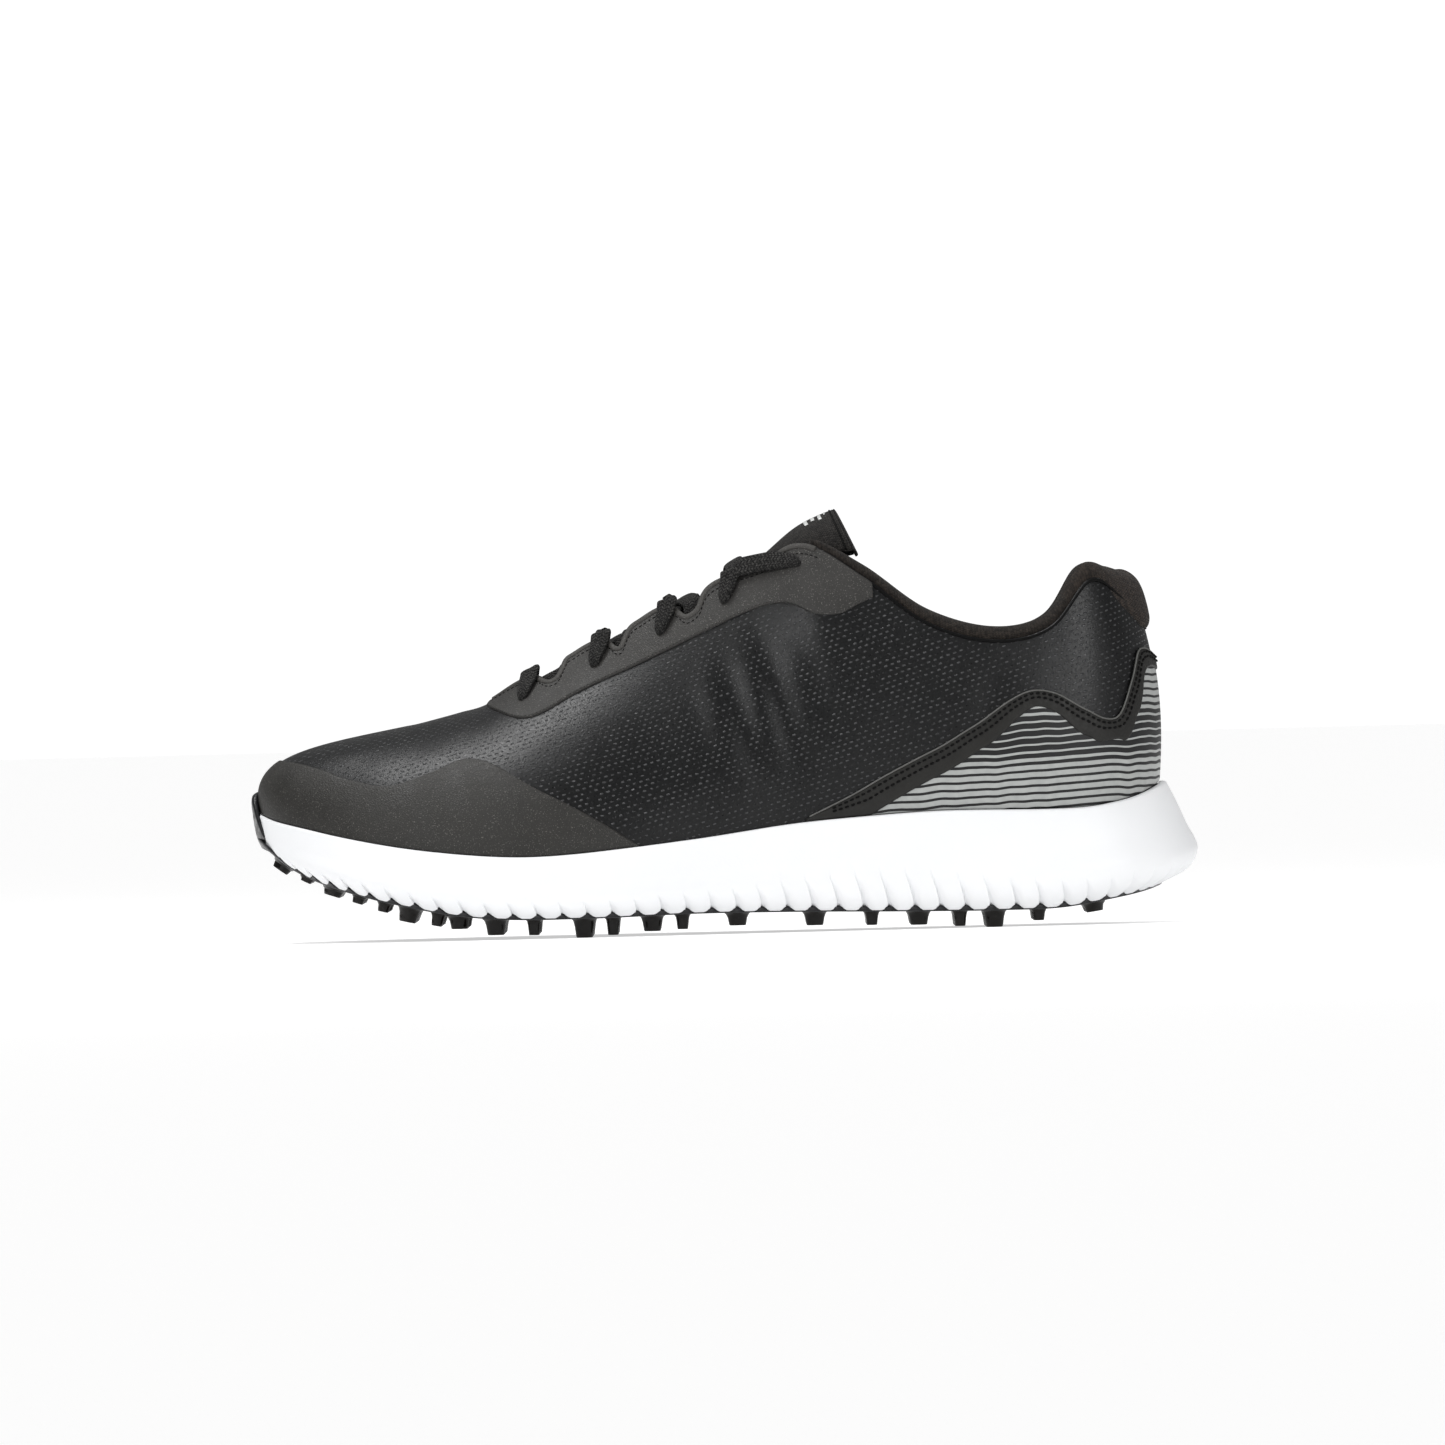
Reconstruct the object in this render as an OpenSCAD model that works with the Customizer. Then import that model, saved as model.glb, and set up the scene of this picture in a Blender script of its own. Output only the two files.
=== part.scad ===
/* [Fit] */
// Thickness of the textured upper material
panel_t = 1.5; // [1.2:0.1:2]
// Thickness of the matte overlays
overlay_t = 0.8; // [0.5:0.1:1]
// Thickness of the textile linings
lining_t = 0.7; // [0.5:0.1:1]
// Thickness of the ankle padding
padding_t = 4.5; // [3:0.5:6]

/* [Sole] */
// Thickness of the rubber plate under the foam
plate_t = 1.5; // [1.2:0.1:2]
// Thickness of the rubber rand over the toe
bumper_t = 2.2; // [1.5:0.1:3]
// Radius of a large lug where it leaves the plate
lug_r = 3.6; // [3:0.1:4.5]
// Radius of a small lug where it leaves the plate
small_lug_r = 2.4; // [1.8:0.1:3]
// Thickness of the footbed foam
footbed_t = 4; // [3:0.5:6]

/* [Lacing] */
// Width of the flat lace
lace_w = 6.5; // [5:0.5:8]
// Thickness of the flat lace
lace_t = 1.6; // [1.2:0.1:2]
// Thickness of the tongue padding
tongue_foam_t = 5; // [3:0.5:6]

/* [Quality] */
// Steps between two neighbouring stations of the upper
steps = 2; // [1:1:3]
// Steps between two neighbouring stations of the sole
sole_steps = 4; // [2:1:5]

/* [Hidden] */
fit_gap = 0.4; // clear space round what moves

// The last, in 17 stations from the toe's tip round one side to the heel's back. Each row has the
// feather edge's x, outer y and inner y, how far the wall leans out and rises there, then the top
// edge's x, half width and height, and how far the wall spreads and drops from it.
LAST = [
    [-145, 8, 8, 11, 25, -100, 4, 68.5, 36, 6.5],
    [-142, -8, 23, 9.5, 25, -97, 3.6, 69, 34, 7],
    [-132, -23, 33, 6, 24, -91, 2.7, 70.4, 32, 7],
    [-114, -37, 41, 7, 24, -83, 1.5, 72.4, 28, 6],
    [-90, -45, 47, 9, 24, -74.5, 0, 74.8, 27, 5],
    [-62, -48.5, 48.2, 10, 24, -61, 6.5, 82.5, 23, 12],
    [-32, -46, 43, 8, 30, -37, 8.5, 94.5, 19, 18],
    [-2, -40.5, 36, 6, 34, -10, 11.5, 107.2, 18, 22],
    [25, -36, 32.5, 4, 36, 13, 15.5, 117.6, 16, 26],
    [45, -34, 31.5, 4, 34, 28, 21, 123, 15, 30],
    [62, -33, 31.5, 4, 30, 46, 27, 112.5, 9, 30],
    [80, -32.5, 31.5, 4, 26, 66, 30, 97.4, 6, 24],
    [98, -31.5, 31, 4, 24, 87, 30, 91.2, 5, 22],
    [113, -28.5, 28.5, 4, 24, 105, 27, 95, 5, 24],
    [124, -23, 23, 4, 26, 118, 20, 109.8, 7, 30],
    [132.5, -13.5, 13.5, 4, 28, 127.5, 12.5, 104.5, 8, 28],
    [136.5, 0, 0, 4, 28, 135.5, 0, 94.2, 5, 20]
];
HALF = len(LAST) - 1;
RING = 2 * HALF;
THROAT = 4; // the station where the throat opens

// Heights along the shoe as [x, z]: the board under the foot, the foam's underside, the lugs' tips
BOARD = [[-150, 38], [-140, 31.5], [-130, 27], [-115, 22.5], [-100, 19.5], [-80, 17.3], [-45, 16.5],
    [-10, 19], [25, 23], [60, 26], [100, 27.5], [140, 28.5]];
UNDERSIDE = [[-150, 35.4], [-145, 31], [-138, 25.4], [-129, 20.8], [-113, 15.5], [-100, 12.3], [-88, 9.8],
    [-73, 8], [-45, 7.5], [-8, 8.2], [24, 7.9], [56, 7.2], [88, 6.8], [107, 7.2], [120, 9.1], [135, 12.2],
    [145, 16.1], [151, 19]];
TIP = [[-145, 26], [-124, 15], [-108, 9.5], [-100, 6], [-84.5, 3.7], [-73, 1.5], [-61, 1.2], [-45, 0],
    [-23.5, 1.5], [3.5, 2.6], [28, 2], [61, 1.3], [85, 0], [116.5, 4], [129, 7.2]];

// How much the foam's wall stands out from the feather edge at each station: at its lower edge and
// at its widest
FLARE = [[0.5, 2.4], [0.5, 3], [1, 4.5], [2, 6], [2.5, 7], [2.5, 7], [2.5, 7], [2.5, 7], [2.5, 7], [2.5, 7],
    [2.5, 7.5], [2.5, 8], [3, 9], [3, 10.5], [3, 12], [3, 14], [3, 14.2]];
// How far up the wall the foam's rim lies, as [station, v]
RIM = [[0, 0.1], [1, 0.1], [2.3, 0.13], [5, 0.124], [7, 0.11], [9, 0.108], [11, 0.135], [14.2, 0.14], [16, 0.21]];

// Panel edges on the wall as [station, v]
TOE_EDGE = [[0, 0.49], [1.5, 0.48], [2.5, 0.43], [3.1, 0.42], [3.6, 0.49], [4.1, 0.56], [4.5, 0.54],
    [5.2, 0.38], [6.2, 0.11]];
STAY_EDGE = [[4, 0.96], [4.48, 0.83], [4.97, 0.743], [5.61, 0.784], [6.34, 0.806], [7.08, 0.821], [7.86, 0.832],
    [8.31, 0.816], [8.55, 0.795], [8.98, 0.758], [9.46, 0.794], [9.85, 0.875], [10.28, 0.975]];
BAND_EDGE = [[8, 0.115], [9.1, 0.2], [10.5, 0.37], [11.4, 0.54], [12.1, 0.69], [12.5, 0.73], [12.9, 0.69],
    [13.4, 0.56], [13.8, 0.48], [14.2, 0.48], [14.7, 0.63], [15.1, 0.77], [15.5, 0.83], [16, 0.845]];
BAND_V = 0.08; // the band's width, up the wall

// The rolled edge of the collar from station 9 on: the middle of the roll, inwards and up from
// the top edge, then its half width and half height
ROLL = [[2, 0.4, 1.4, 1.8], [3.8, 0.4, 3, 3.4], [4.6, 0.4, 4, 4], [4.6, 0.4, 4, 4], [4.8, 0.4, 4.2, 4],
    [5.2, 0.2, 4.6, 4.8], [7.2, 2.4, 6.8, 7.6], [9.4, 9.4, 9.2, 8.9]];
ROLL_START = 9;

// The tongue's middle line as [x, z, radius across, half angle across]
TONGUE = [[-86, 65, 40, 19], [-62, 74.5, 30, 23], [-38, 88.1, 24, 25.5], [-12, 102.6, 20, 31],
    [10, 116.3, 20, 36], [25, 128.4, 20, 57], [37, 134, 21, 72]];

EYELETS = [[4.92, 0.862], [5.85, 0.885], [6.63, 0.9], [7.45, 0.91], [8.84, 0.926]]; // lace holes as [station, v]

// Large lugs as [x, shares of the half width], and the places of the rows of small ones between them
FOREFOOT = [[-140, [0]], [-124, [-0.82, -0.25, 0.3, 0.85]], [-100, [-0.84, -0.42, 0, 0.42, 0.84]],
    [-84.5, [-0.86, -0.3, 0.3, 0.86]], [-73, [-0.88, -0.45, 0, 0.45, 0.88]], [-45, [-0.88, -0.45, 0, 0.45, 0.88]]];
ARCH = [[-23.5, [-0.86, -0.3, 0.3, 0.86]], [3.5, [-0.86, -0.3, 0.3, 0.86]],
    [28, [-0.86, -0.3, 0.3, 0.86]]];
HEEL = [[61, [-0.84, -0.3, 0.3, 0.84]], [85, [-0.84, -0.42, 0, 0.42, 0.84]], [116.5, [-0.8, 0, 0.8]]];
SMALL = [-132.5, -116, -108, -91, -61, -36, -14, 46, 74, 99];

function clamp(v, low, high) = min(max(v, low), high);
function mix(a, b, t) = a + (b - a) * t;
function smooth(t) = let (c = clamp(t, 0, 1)) c * c * (3 - 2 * c);
function cubic(a, b, c, d, t) =
    0.5 * (2 * b + (c - a) * t + (2 * a - 5 * b + 4 * c - d) * t * t + (3 * b - a - 3 * c + d) * t * t * t);
function row(table, i) = table[clamp(i, 0, len(table) - 1)];
function along(table, t) = let (i = floor(t))
    cubic(row(table, i - 1), row(table, i), row(table, i + 1), row(table, i + 2), t - i);
function unit(v) = v / norm(v);
function reverse(list) = [for (i = [len(list) - 1:-1:0]) list[i]];
function range(a, b, n) = [for (i = [0:n]) mix(a, b, i / n)];

// The closed ring of stations: the outer side runs from 0 to HALF, the inner side back to RING
function wrap(k) = (k % RING + RING) % RING;
function half(k) = let (w = wrap(k)) w <= HALF ? w : RING - w;
function foot(k) = let (r = LAST[half(k)], s = wrap(k) <= HALF ? -1 : 1) [
    r[0], s < 0 ? r[1] : r[2], r[3], r[4],
    r[5], half(k) <= THROAT ? r[6] : s * r[6], r[7], r[8], r[9]
];
function station(u) = let (i = floor(u)) cubic(foot(i - 1), foot(i), foot(i + 1), foot(i + 2), u - i);
function ridge_y(x) = clamp(-(x + 74.5) * 0.157, 0, 4);
function outward(u) = let (a = station(u - 0.01), b = station(u + 0.01), d = unit([b[0] - a[0], b[1] - a[1]]))
    [d[1], -d[0]];

// Point of the upper's outer face: u runs round the ring, v from the feather edge to the top edge
function wall(u, v) = let (
    r = station(u), o = outward(u), w = 1 - v,
    b = [r[0], r[1], lookup(r[0], BOARD)],
    t = [r[4], half(u) <= THROAT ? ridge_y(r[4]) : r[5], r[6]],
    p = b + [o[0] * r[2], o[1] * r[2], r[3]],
    q = t + [o[0] * r[7], o[1] * r[7], -r[8]]
) w * w * w * b + 3 * w * w * v * p + 3 * w * v * v * q + v * v * v * t;
function wall_normal(u, v) = let (c = clamp(v, 0.01, 0.97))
    unit(cross(wall(u + 0.01, c) - wall(u - 0.01, c), wall(u, c + 0.01) - wall(u, c - 0.01)));
function lift(u, v, d) = wall(u, v) + wall_normal(u, v) * d;

// How far the ankle padding brings the lining in from the wall
function padding(u, v) = let (h = half(u))
    padding_t * smooth((v - 0.45) / 0.3) * smooth((h - 9.2) / 1.4)
    + 7.5 * smooth((v - 0.6) / 0.4) * smooth((h - 13.6) / 2);

// Point of the sole outline, standing out by d from the feather edge, at height table(x) + up
function outline(u, d, table, up = 0) = let (r = station(u), o = outward(u), x = r[0] + o[0] * d)
    [x, r[1] + o[1] * d, lookup(x, table) + up];
function rim(u) = lookup(half(u), RIM);
function rim_t(u) = mix(1, 2.4, smooth(half(u) / 3));

// Point of the tongue: a runs from its seam to its top edge, b from -1 to 1 across, d outwards
function tongue_at(a, b, d) = let (
    r = along(TONGUE, a), s = along(TONGUE, a + 0.02) - along(TONGUE, a - 0.02),
    t = unit([s[0], s[1]]), n = [-t[1], 0, t[0]], q = b * r[3]
) [r[0], 0, r[1]] - n * r[2] + (n * cos(q) + [0, sin(q), 0]) * (r[2] + d);

// Quads between rows of points, each given as two triangles
function quad(a, b, c, d) = [[a, b, c], [a, c, d]];
function flip(faces) = [for (f = faces) reverse(f)];
// Lid over a loop of n points whose points j and n - 1 - j face each other
function ladder(n, base) = [
    for (j = [0:n / 2 - 2]) each quad(base + j, base + j + 1, base + n - 2 - j, base + n - 1 - j)
];

// Solid lofted through loops of equal length; each lid joins points that face each other
module loft(loops) {
    n = len(loops[0]);
    m = len(loops);
    skin = [for (i = [0:m - 2]) for (j = [0:n - 1]) let (k = (j + 1) % n)
        each quad(i * n + j, (i + 1) * n + j, (i + 1) * n + k, i * n + k)];
    polyhedron([for (l = loops) each l], concat(skin, ladder(n, 0), flip(ladder(n, (m - 1) * n))), convexity = 8);
}

// Solid between stacked closed outlines of the sole, given from the bottom up by at(u, level)
module stack(levels, at) {
    n = RING * sole_steps;
    loft([for (l = [0:levels - 1]) [for (i = [0:n - 1]) at((i + 0.5) / sole_steps, l)]]);
}

// Solid along stations us with a cross section between the lists left(u) and right(u)
module ribs(us, left, right) {
    loft([for (u = us) concat(left(u), reverse(right(u)))]);
}

// Patch of the wall from station a to b, between v = low(u) and high(u), offset from inner to outer
module patch(a, b, low, high, inner, outer, rows = 4) {
    side = function (u, d) [for (j = [rows:-1:0]) lift(u, mix(low(u), high(u), j / rows), d)];
    ribs(range(a, b, round((b - a) * steps)), function (u) side(u, outer), function (u) side(u, inner));
}

// Shell of the wall from station a to b round the toe or all round; its two sides share their
// points along the vamp's ridge
module ring_shell(a, b, low, high, inner, outer, rows) {
    full = b - a == RING;
    n = round((b - a) * steps);
    cols = full ? n : n + 1;
    c = rows + 1;
    zero = round(-a * steps);
    vamp = THROAT * steps;
    from_toe = function (i) full ? min(i, n - i) : abs(i - zero);
    inner_side = function (i) full ? i > n / 2 : i < zero;
    id = function (i, j, layer) let (
        k = full ? i % n : i,
        m = j == rows && from_toe(k) <= vamp && inner_side(k) ? (full ? n - k : 2 * zero - k) : k
    ) (layer * cols + m) * c + j;
    face = function (d) [for (i = [0:cols - 1]) for (j = [0:rows])
        lift(a + i / steps, mix(low, high, j / rows), d)];
    skin = function (s) [for (i = [0:n - 1]) for (j = [0:rows - 1])
        each quad(id(i, j, s), id(i + 1, j, s), id(i + 1, j + 1, s), id(i, j + 1, s))];
    rims = [for (i = [0:n - 1]) each concat(
        quad(id(i + 1, 0, 1), id(i, 0, 1), id(i, 0, 0), id(i + 1, 0, 0)),
        max(from_toe(i), from_toe(i + 1)) <= vamp ? []
            : quad(id(i, rows, 1), id(i + 1, rows, 1), id(i + 1, rows, 0), id(i, rows, 0))
    )];
    ends = full ? [] : [for (j = [0:rows - 1]) each concat(
        quad(id(0, j, 0), id(0, j, 1), id(0, j + 1, 1), id(0, j + 1, 0)),
        quad(id(n, j, 1), id(n, j, 0), id(n, j + 1, 0), id(n, j + 1, 1))
    )];
    real = function (f) f[0] != f[1] && f[1] != f[2] && f[0] != f[2];
    faces = concat(flip(skin(1)), skin(0), flip(rims), flip(ends));
    polyhedron(concat(face(inner), face(outer)), [for (f = faces) if (real(f)) f], convexity = 8);
}

// Flat band swept along points, with the normals of the surface that it lies on
module ribbon(points, normals, width, thickness) {
    n = len(points) - 1;
    loops = [for (i = [0:n]) let (
        t = unit(points[min(i + 1, n)] - points[max(i - 1, 0)]),
        w = unit(cross(t, normals[i])) * width / 2, h = unit(cross(w, t)) * thickness / 2
    ) [points[i] + w + h, points[i] + w - h, points[i] - w - h, points[i] - w + h]];
    loft(loops);
}

// Tapered lug under the plate at x and share of the half width, square to the sole there
module lug(x, share, r) {
    outer_side = [for (s = LAST) [s[0], s[1]]];
    inner_side = [for (s = LAST) [s[0], s[2]]];
    y = share < 0 ? -share * lookup(x, outer_side) : share * lookup(x, inner_side);
    top = lookup(x, UNDERSIDE) - plate_t + 0.5;
    slope = atan((lookup(x + 4, UNDERSIDE) - lookup(x - 4, UNDERSIDE)) / 8);
    tilt = abs(slope) > 8 ? -slope : 0;
    translate([x, y, top]) rotate([0, tilt, 0]) rotate([180, 0, 0])
        cylinder(h = max((top - lookup(x, TIP)) * cos(tilt), 0.9 * r), r1 = r, r2 = r * 0.7, $fn = 32);
}
module lugs(rows, r) {
    for (l = rows) for (s = l[1]) lug(l[0], s, r);
}
module forefoot_lugs() { color("#17130f") lugs(FOREFOOT, lug_r); }
module arch_lugs() { color("#17130f") lugs(ARCH, lug_r); }
module heel_lugs() { color("#17130f") lugs(HEEL, lug_r); }
module small_lugs() { color("#17130f") lugs([for (x = SMALL) [x, [-0.88, -0.3, 0.3, 0.88]]], small_lug_r); }

module outsole_plate() {
    reach = function (u) mix(4.4, 0, smooth((half(u) - 0.8) / 1.2));
    color("#14151a") stack(2, function (u, l) outline(u, along(FLARE, half(u))[0] - 0.6 + reach(u), UNDERSIDE,
        l == 0 ? -plate_t : -0.05));
}
// The rand stands on the plate's front and leans on the foam and the toe
module toe_bumper() {
    reach = 1;
    levels = 6;
    at = function (u, j, d) let (
        foot = outline(u, 3.2, UNDERSIDE, 0.1),
        top = mix(48, foot[2] + 3, smooth(abs(u) / reach)),
        lean = mix(2.2, 3.3, smooth(j / levels * 2)),
        p = outline(u, lean + d, UNDERSIDE)
    ) [p[0], p[1], mix(foot[2], top, j / levels)];
    color("#14151a") ribs(range(-reach, reach, 12),
        function (u) [for (j = [levels:-1:0]) at(u, j, bumper_t)],
        function (u) [for (j = [levels:-1:0]) at(u, j, 0)]);
}
// Outer side of the foam: each level's share of the height, then its shares of lower edge, widest
// line and rim
FOAM = [[0, 1, 0, 0], [0.12, 0.35, 0.65, 0], [0.32, 0, 1, 0], [0.6, 0, 0.62, 0.38], [0.82, 0, 0.3, 0.7], [1, 0, 0, 1]];
module midsole() {
    outer = len(FOAM);
    level = function (u, l) let (
        f = along(FLARE, half(u)), low = outline(u, f[0], UNDERSIDE), widest = outline(u, f[1], UNDERSIDE),
        top = lift(u, rim(u), fit_gap + rim_t(u)), s = FOAM[min(l, outer - 1)],
        p = low * s[1] + widest * s[2] + top * s[3]
    ) l < outer ? [p[0], p[1], mix(low[2], top[2], s[0])]
        : l == outer ? lift(u, rim(u), fit_gap)
        : l == outer + 1 ? lift(u, rim(u) / 2, fit_gap)
        : outline(u, fit_gap, BOARD, -1.4);
    color("#f6f7f9") stack(outer + 3, level);
}
module strobel_board() {
    color("#d9d4c8") stack(2, function (u, l) outline(u, -0.3, BOARD, l == 0 ? -1.3 : -0.1));
}
footbed_in = -(panel_t + 2 * lining_t + 1.4); // the footbed's edge, in from the feather edge
module sockliner() {
    color("#3a3d42") stack(2, function (u, l) outline(u, footbed_in, BOARD, fit_gap + l * footbed_t));
}
module sockliner_cover() {
    color("#232426") stack(2, function (u, l) outline(u, footbed_in, BOARD, fit_gap + footbed_t + 0.05 + l * 0.8));
}

module main_panel() { color("#1e1f21") ring_shell(0, RING, 0.005, 1, -panel_t, 0, 8); }
module toe_overlay() {
    edge = function (u) lookup(half(u), TOE_EDGE);
    color("#33322f") patch(-6, 6, function (u) rim(u) + 0.004, edge, 0.05, overlay_t);
}
module eyestay(a, b) {
    color("#474644") patch(a, b, function (u) lookup(half(u), STAY_EDGE), function (u) 0.995, 0.05, overlay_t, 3);
}
module eyestay_outer() { eyestay(4.5, 10); }
module eyestay_inner() { eyestay(RING - 10, RING - 4.5); }
module heel_overlay() {
    edge = function (u) lookup(half(u), BAND_EDGE) - BAND_V - 0.004;
    color("#8d9194") patch(9.5, RING - 9.5, function (u) rim(u) + 0.004, edge, 0.05, overlay_t);
}
module heel_band() {
    edge = function (u) lookup(half(u), BAND_EDGE);
    low = function (u) max(edge(u) - BAND_V, rim(u) + 0.004);
    color("#1b1b1c") patch(9, RING - 9, low, edge, 0.05, overlay_t + 0.4, 2);
}
module heel_counter() {
    color("#c9c2b2") patch(11.5, RING - 11.5, function (u) 0.03, function (u) 0.42, -panel_t - 1.2, -panel_t - 0.1);
}
module toe_puff() {
    color("#c9c2b2") patch(-3, 3, function (u) 0.03, function (u) 0.7, -panel_t - 0.7, -panel_t - 0.1);
}
lining_in = panel_t + 1.4; // the lining's depth behind the wall
module vamp_lining() {
    color("#2a2a2c") ring_shell(-9, 9, 0.03, 0.985, -lining_in - lining_t, -lining_in, 6);
}

// Cross sections of the collar, from the roll's top down
function roll_at(u) = along(ROLL, half(u) - ROLL_START);
function roll_point(u, q, grow = 0) = let (
    r = roll_at(u), o = outward(u), c = wall(u, 1) + [-o[0] * r[0], -o[1] * r[0], r[1]]
) c + [o[0], o[1], 0] * (r[2] + grow) * cos(q) + [0, 0, (r[3] + grow) * sin(q)];
function pads(u, low, high, n, d) = [for (j = [n:-1:0]) let (v = mix(low, high, j / n)) lift(u, v, d - padding(u, v))];
module collar_foam() {
    color("#4a4a4a") ribs(range(9.5, RING - 9.5, (RING - 19) * steps),
        function (u) [for (j = [4:-1:0]) lift(u, mix(0.47, 0.9, j / 4), -panel_t - 0.1)],
        function (u) pads(u, 0.47, 0.9, 4, -lining_in + 0.1));
}
module collar_lining() {
    color("#2b2622") ribs(range(9.1, RING - 9.1, round((RING - 18.2) * steps)),
        function (u) concat([for (q = [75:-30:-45]) roll_point(u, q)], pads(u, 0.03, 0.9, 6, -lining_in)),
        function (u) concat([for (q = [105:30:225]) roll_point(u, q)], pads(u, 0.03, 0.9, 6, -lining_in - lining_t)));
}
module heel_tab() {
    color("#25211e") ribs(range(13.8, RING - 13.8, 18),
        function (u) [for (q = [80:-20:-60]) roll_point(u, q, 1.1)],
        function (u) [for (q = [80:-20:-60]) roll_point(u, q, 0.1)]);
}

// Layer of the tongue between offsets inner and outer
module tongue_layer(a, b, across, inner, outer) {
    side = function (t, d) [for (j = [5:-1:-5]) tongue_at(t, across * j / 5, d)];
    ribs(range(a, b, 14), function (t) side(t, outer), function (t) side(t, inner));
}
tongue_shell_t = 1.1;
tongue_foam_in = -tongue_shell_t - tongue_foam_t;
module tongue_shell() { color("#1c1a19") tongue_layer(0, 6, 1, -tongue_shell_t, 0); }
module tongue_foam() { color("#4a4a4a") tongue_layer(0.5, 5.9, 0.92, tongue_foam_in, -tongue_shell_t - 0.05); }
module tongue_lining() { color("#2b2622") tongue_layer(0.2, 6, 0.96, tongue_foam_in - 0.85, tongue_foam_in - 0.05); }
module tongue_binding() {
    mid = (tongue_foam_in - 0.85) / 2;
    color("#201c1a") ribs(range(-1, 1, 14),
        function (b) [for (q = [70:-35:-70]) tongue_at(6.03 + 0.17 * cos(q), b, mid - mid * sin(q))],
        function (b) [for (q = [70:-35:-70]) tongue_at(6.03, b, mid - mid * sin(q) * 0.98)]);
}
module tongue_patch() {
    side = function (t, d) [for (j = [2:-1:-2]) tongue_at(t, 0.32 * j / 2, d)];
    color("#8d9194") ribs(range(5.2, 5.75, 3), function (t) side(t, 0.6), function (t) side(t, 0.05));
}

// Lacing: a crossing leaves one eyestay's edge, crosses the tongue and enters the next hole of the
// other eyestay from above. up lifts the upper one of two crossings.
function hole(s, k) = s < 0 ? EYELETS[k][0] : RING - EYELETS[k][0];
function crown(x, y, up) = let (
    a = [for (r = TONGUE) [r[0], r[1]]],
    c = [for (r = TONGUE) [r[0], r[2]]],
    q = lookup(x, c)
) [x, y, lookup(x, a) - q + sqrt(q * q - y * y) + lace_t / 2 + 1.3 + up];
function crossing(s, k, m, up) = let (
    a = lift(hole(s, k) - s * 0.36, 1, 0), b = lift(hole(-s, m), 1, overlay_t + lace_t / 2 + 0.6),
    e = lift(hole(-s, m), EYELETS[m][1], overlay_t + lace_t / 2 + 0.1), n = 6
) concat(
    [for (i = [0:n]) let (t = 0.04 + 0.8 * i / n) crown(mix(a[0], b[0], t), mix(a[1], b[1], t) * 0.9, up)],
    [b, e]
);
function upright(points) = [for (p = points) unit([-0.5, p[1] * 0.02, 0.86])];
module lace(points) { ribbon(points, upright(points), lace_w, lace_t); }
tail_u = 9.5; // station where the lace's ends are tucked in
function tail(s, v) = lift(s < 0 ? tail_u : RING - tail_u, v, -lining_in - lining_t - padding(tail_u, v) - 1.6);
module shoelace() {
    color("#101010") {
        lace(concat(
            [for (v = [EYELETS[0][1], 1]) lift(hole(-1, 0), v, overlay_t + lace_t / 2 + 0.4)],
            [for (y = [-4:4:4]) crown(lift(hole(1, 0), 1, 0)[0], y, 1)],
            [for (v = [1, EYELETS[0][1]]) lift(hole(1, 0), v, overlay_t + lace_t / 2 + 0.4)]
        ));
        for (k = [0:len(EYELETS) - 2]) {
            lace(crossing(-1, k, k + 1, 0));
            lace(crossing(1, k, k + 1, lace_t + 0.2));
        }
        for (s = [-1, 1])
            ribbon([tail(s, 0.85), tail(s, 0.75), tail(s, 0.65), tail(s, 0.56)],
                [for (i = [0:3]) [0, s, 0.2]], lace_w - 1, lace_t - 0.4);
    }
}
module aglets() {
    color("#0c0c0c") for (s = [-1, 1]) {
        a = tail(s, 0.555);
        d = tail(s, 0.4) - a;
        translate(a) rotate([0, acos(d[2] / norm(d)), atan2(d[1], d[0])]) cylinder(h = 16, r = 1.3, $fn = 24);
    }
}

outsole_plate();
toe_bumper();
forefoot_lugs();
arch_lugs();
heel_lugs();
small_lugs();
midsole();
strobel_board();
sockliner();
sockliner_cover();
main_panel();
toe_overlay();
eyestay_outer();
eyestay_inner();
heel_overlay();
heel_band();
heel_counter();
toe_puff();
vamp_lining();
collar_foam();
collar_lining();
heel_tab();
tongue_shell();
tongue_foam();
tongue_lining();
tongue_binding();
tongue_patch();
shoelace();
aglets();
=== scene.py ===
"""Golf shoe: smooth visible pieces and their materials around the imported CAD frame.

Shapes are worked out in millimetres and scaled to metres when a mesh is made. +X runs from toe to
heel, -Y is the shoe's outer side and +Z is up, as in the frame.
"""
import math

import bpy
import numpy as np
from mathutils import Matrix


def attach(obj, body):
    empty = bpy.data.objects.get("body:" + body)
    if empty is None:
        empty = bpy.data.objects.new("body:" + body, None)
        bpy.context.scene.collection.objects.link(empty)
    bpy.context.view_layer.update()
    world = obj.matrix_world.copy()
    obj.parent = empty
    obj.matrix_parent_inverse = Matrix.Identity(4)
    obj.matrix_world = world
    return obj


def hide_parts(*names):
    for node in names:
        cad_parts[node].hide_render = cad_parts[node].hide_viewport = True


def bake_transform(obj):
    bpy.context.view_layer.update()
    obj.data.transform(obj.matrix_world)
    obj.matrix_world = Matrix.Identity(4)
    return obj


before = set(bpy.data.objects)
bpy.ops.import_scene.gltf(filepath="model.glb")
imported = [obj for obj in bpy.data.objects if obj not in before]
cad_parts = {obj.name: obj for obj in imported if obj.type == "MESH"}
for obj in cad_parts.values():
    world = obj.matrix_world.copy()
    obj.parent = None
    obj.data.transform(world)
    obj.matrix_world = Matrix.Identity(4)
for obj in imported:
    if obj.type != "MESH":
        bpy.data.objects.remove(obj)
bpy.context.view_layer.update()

MM = 0.001
HALF = 16  # stations from the toe's tip to the heel's back
RING = 2 * HALF
THROAT = 4  # the station where the throat opens
RIDGE_END = -74.5  # x where the ridge of the vamp has run out into its middle line
RIDGE_SLOPE = 0.157
STATION_MM, WALL_MM = 18.0, 70.0  # a station's usual length and the wall's height, for plain UVs

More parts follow.
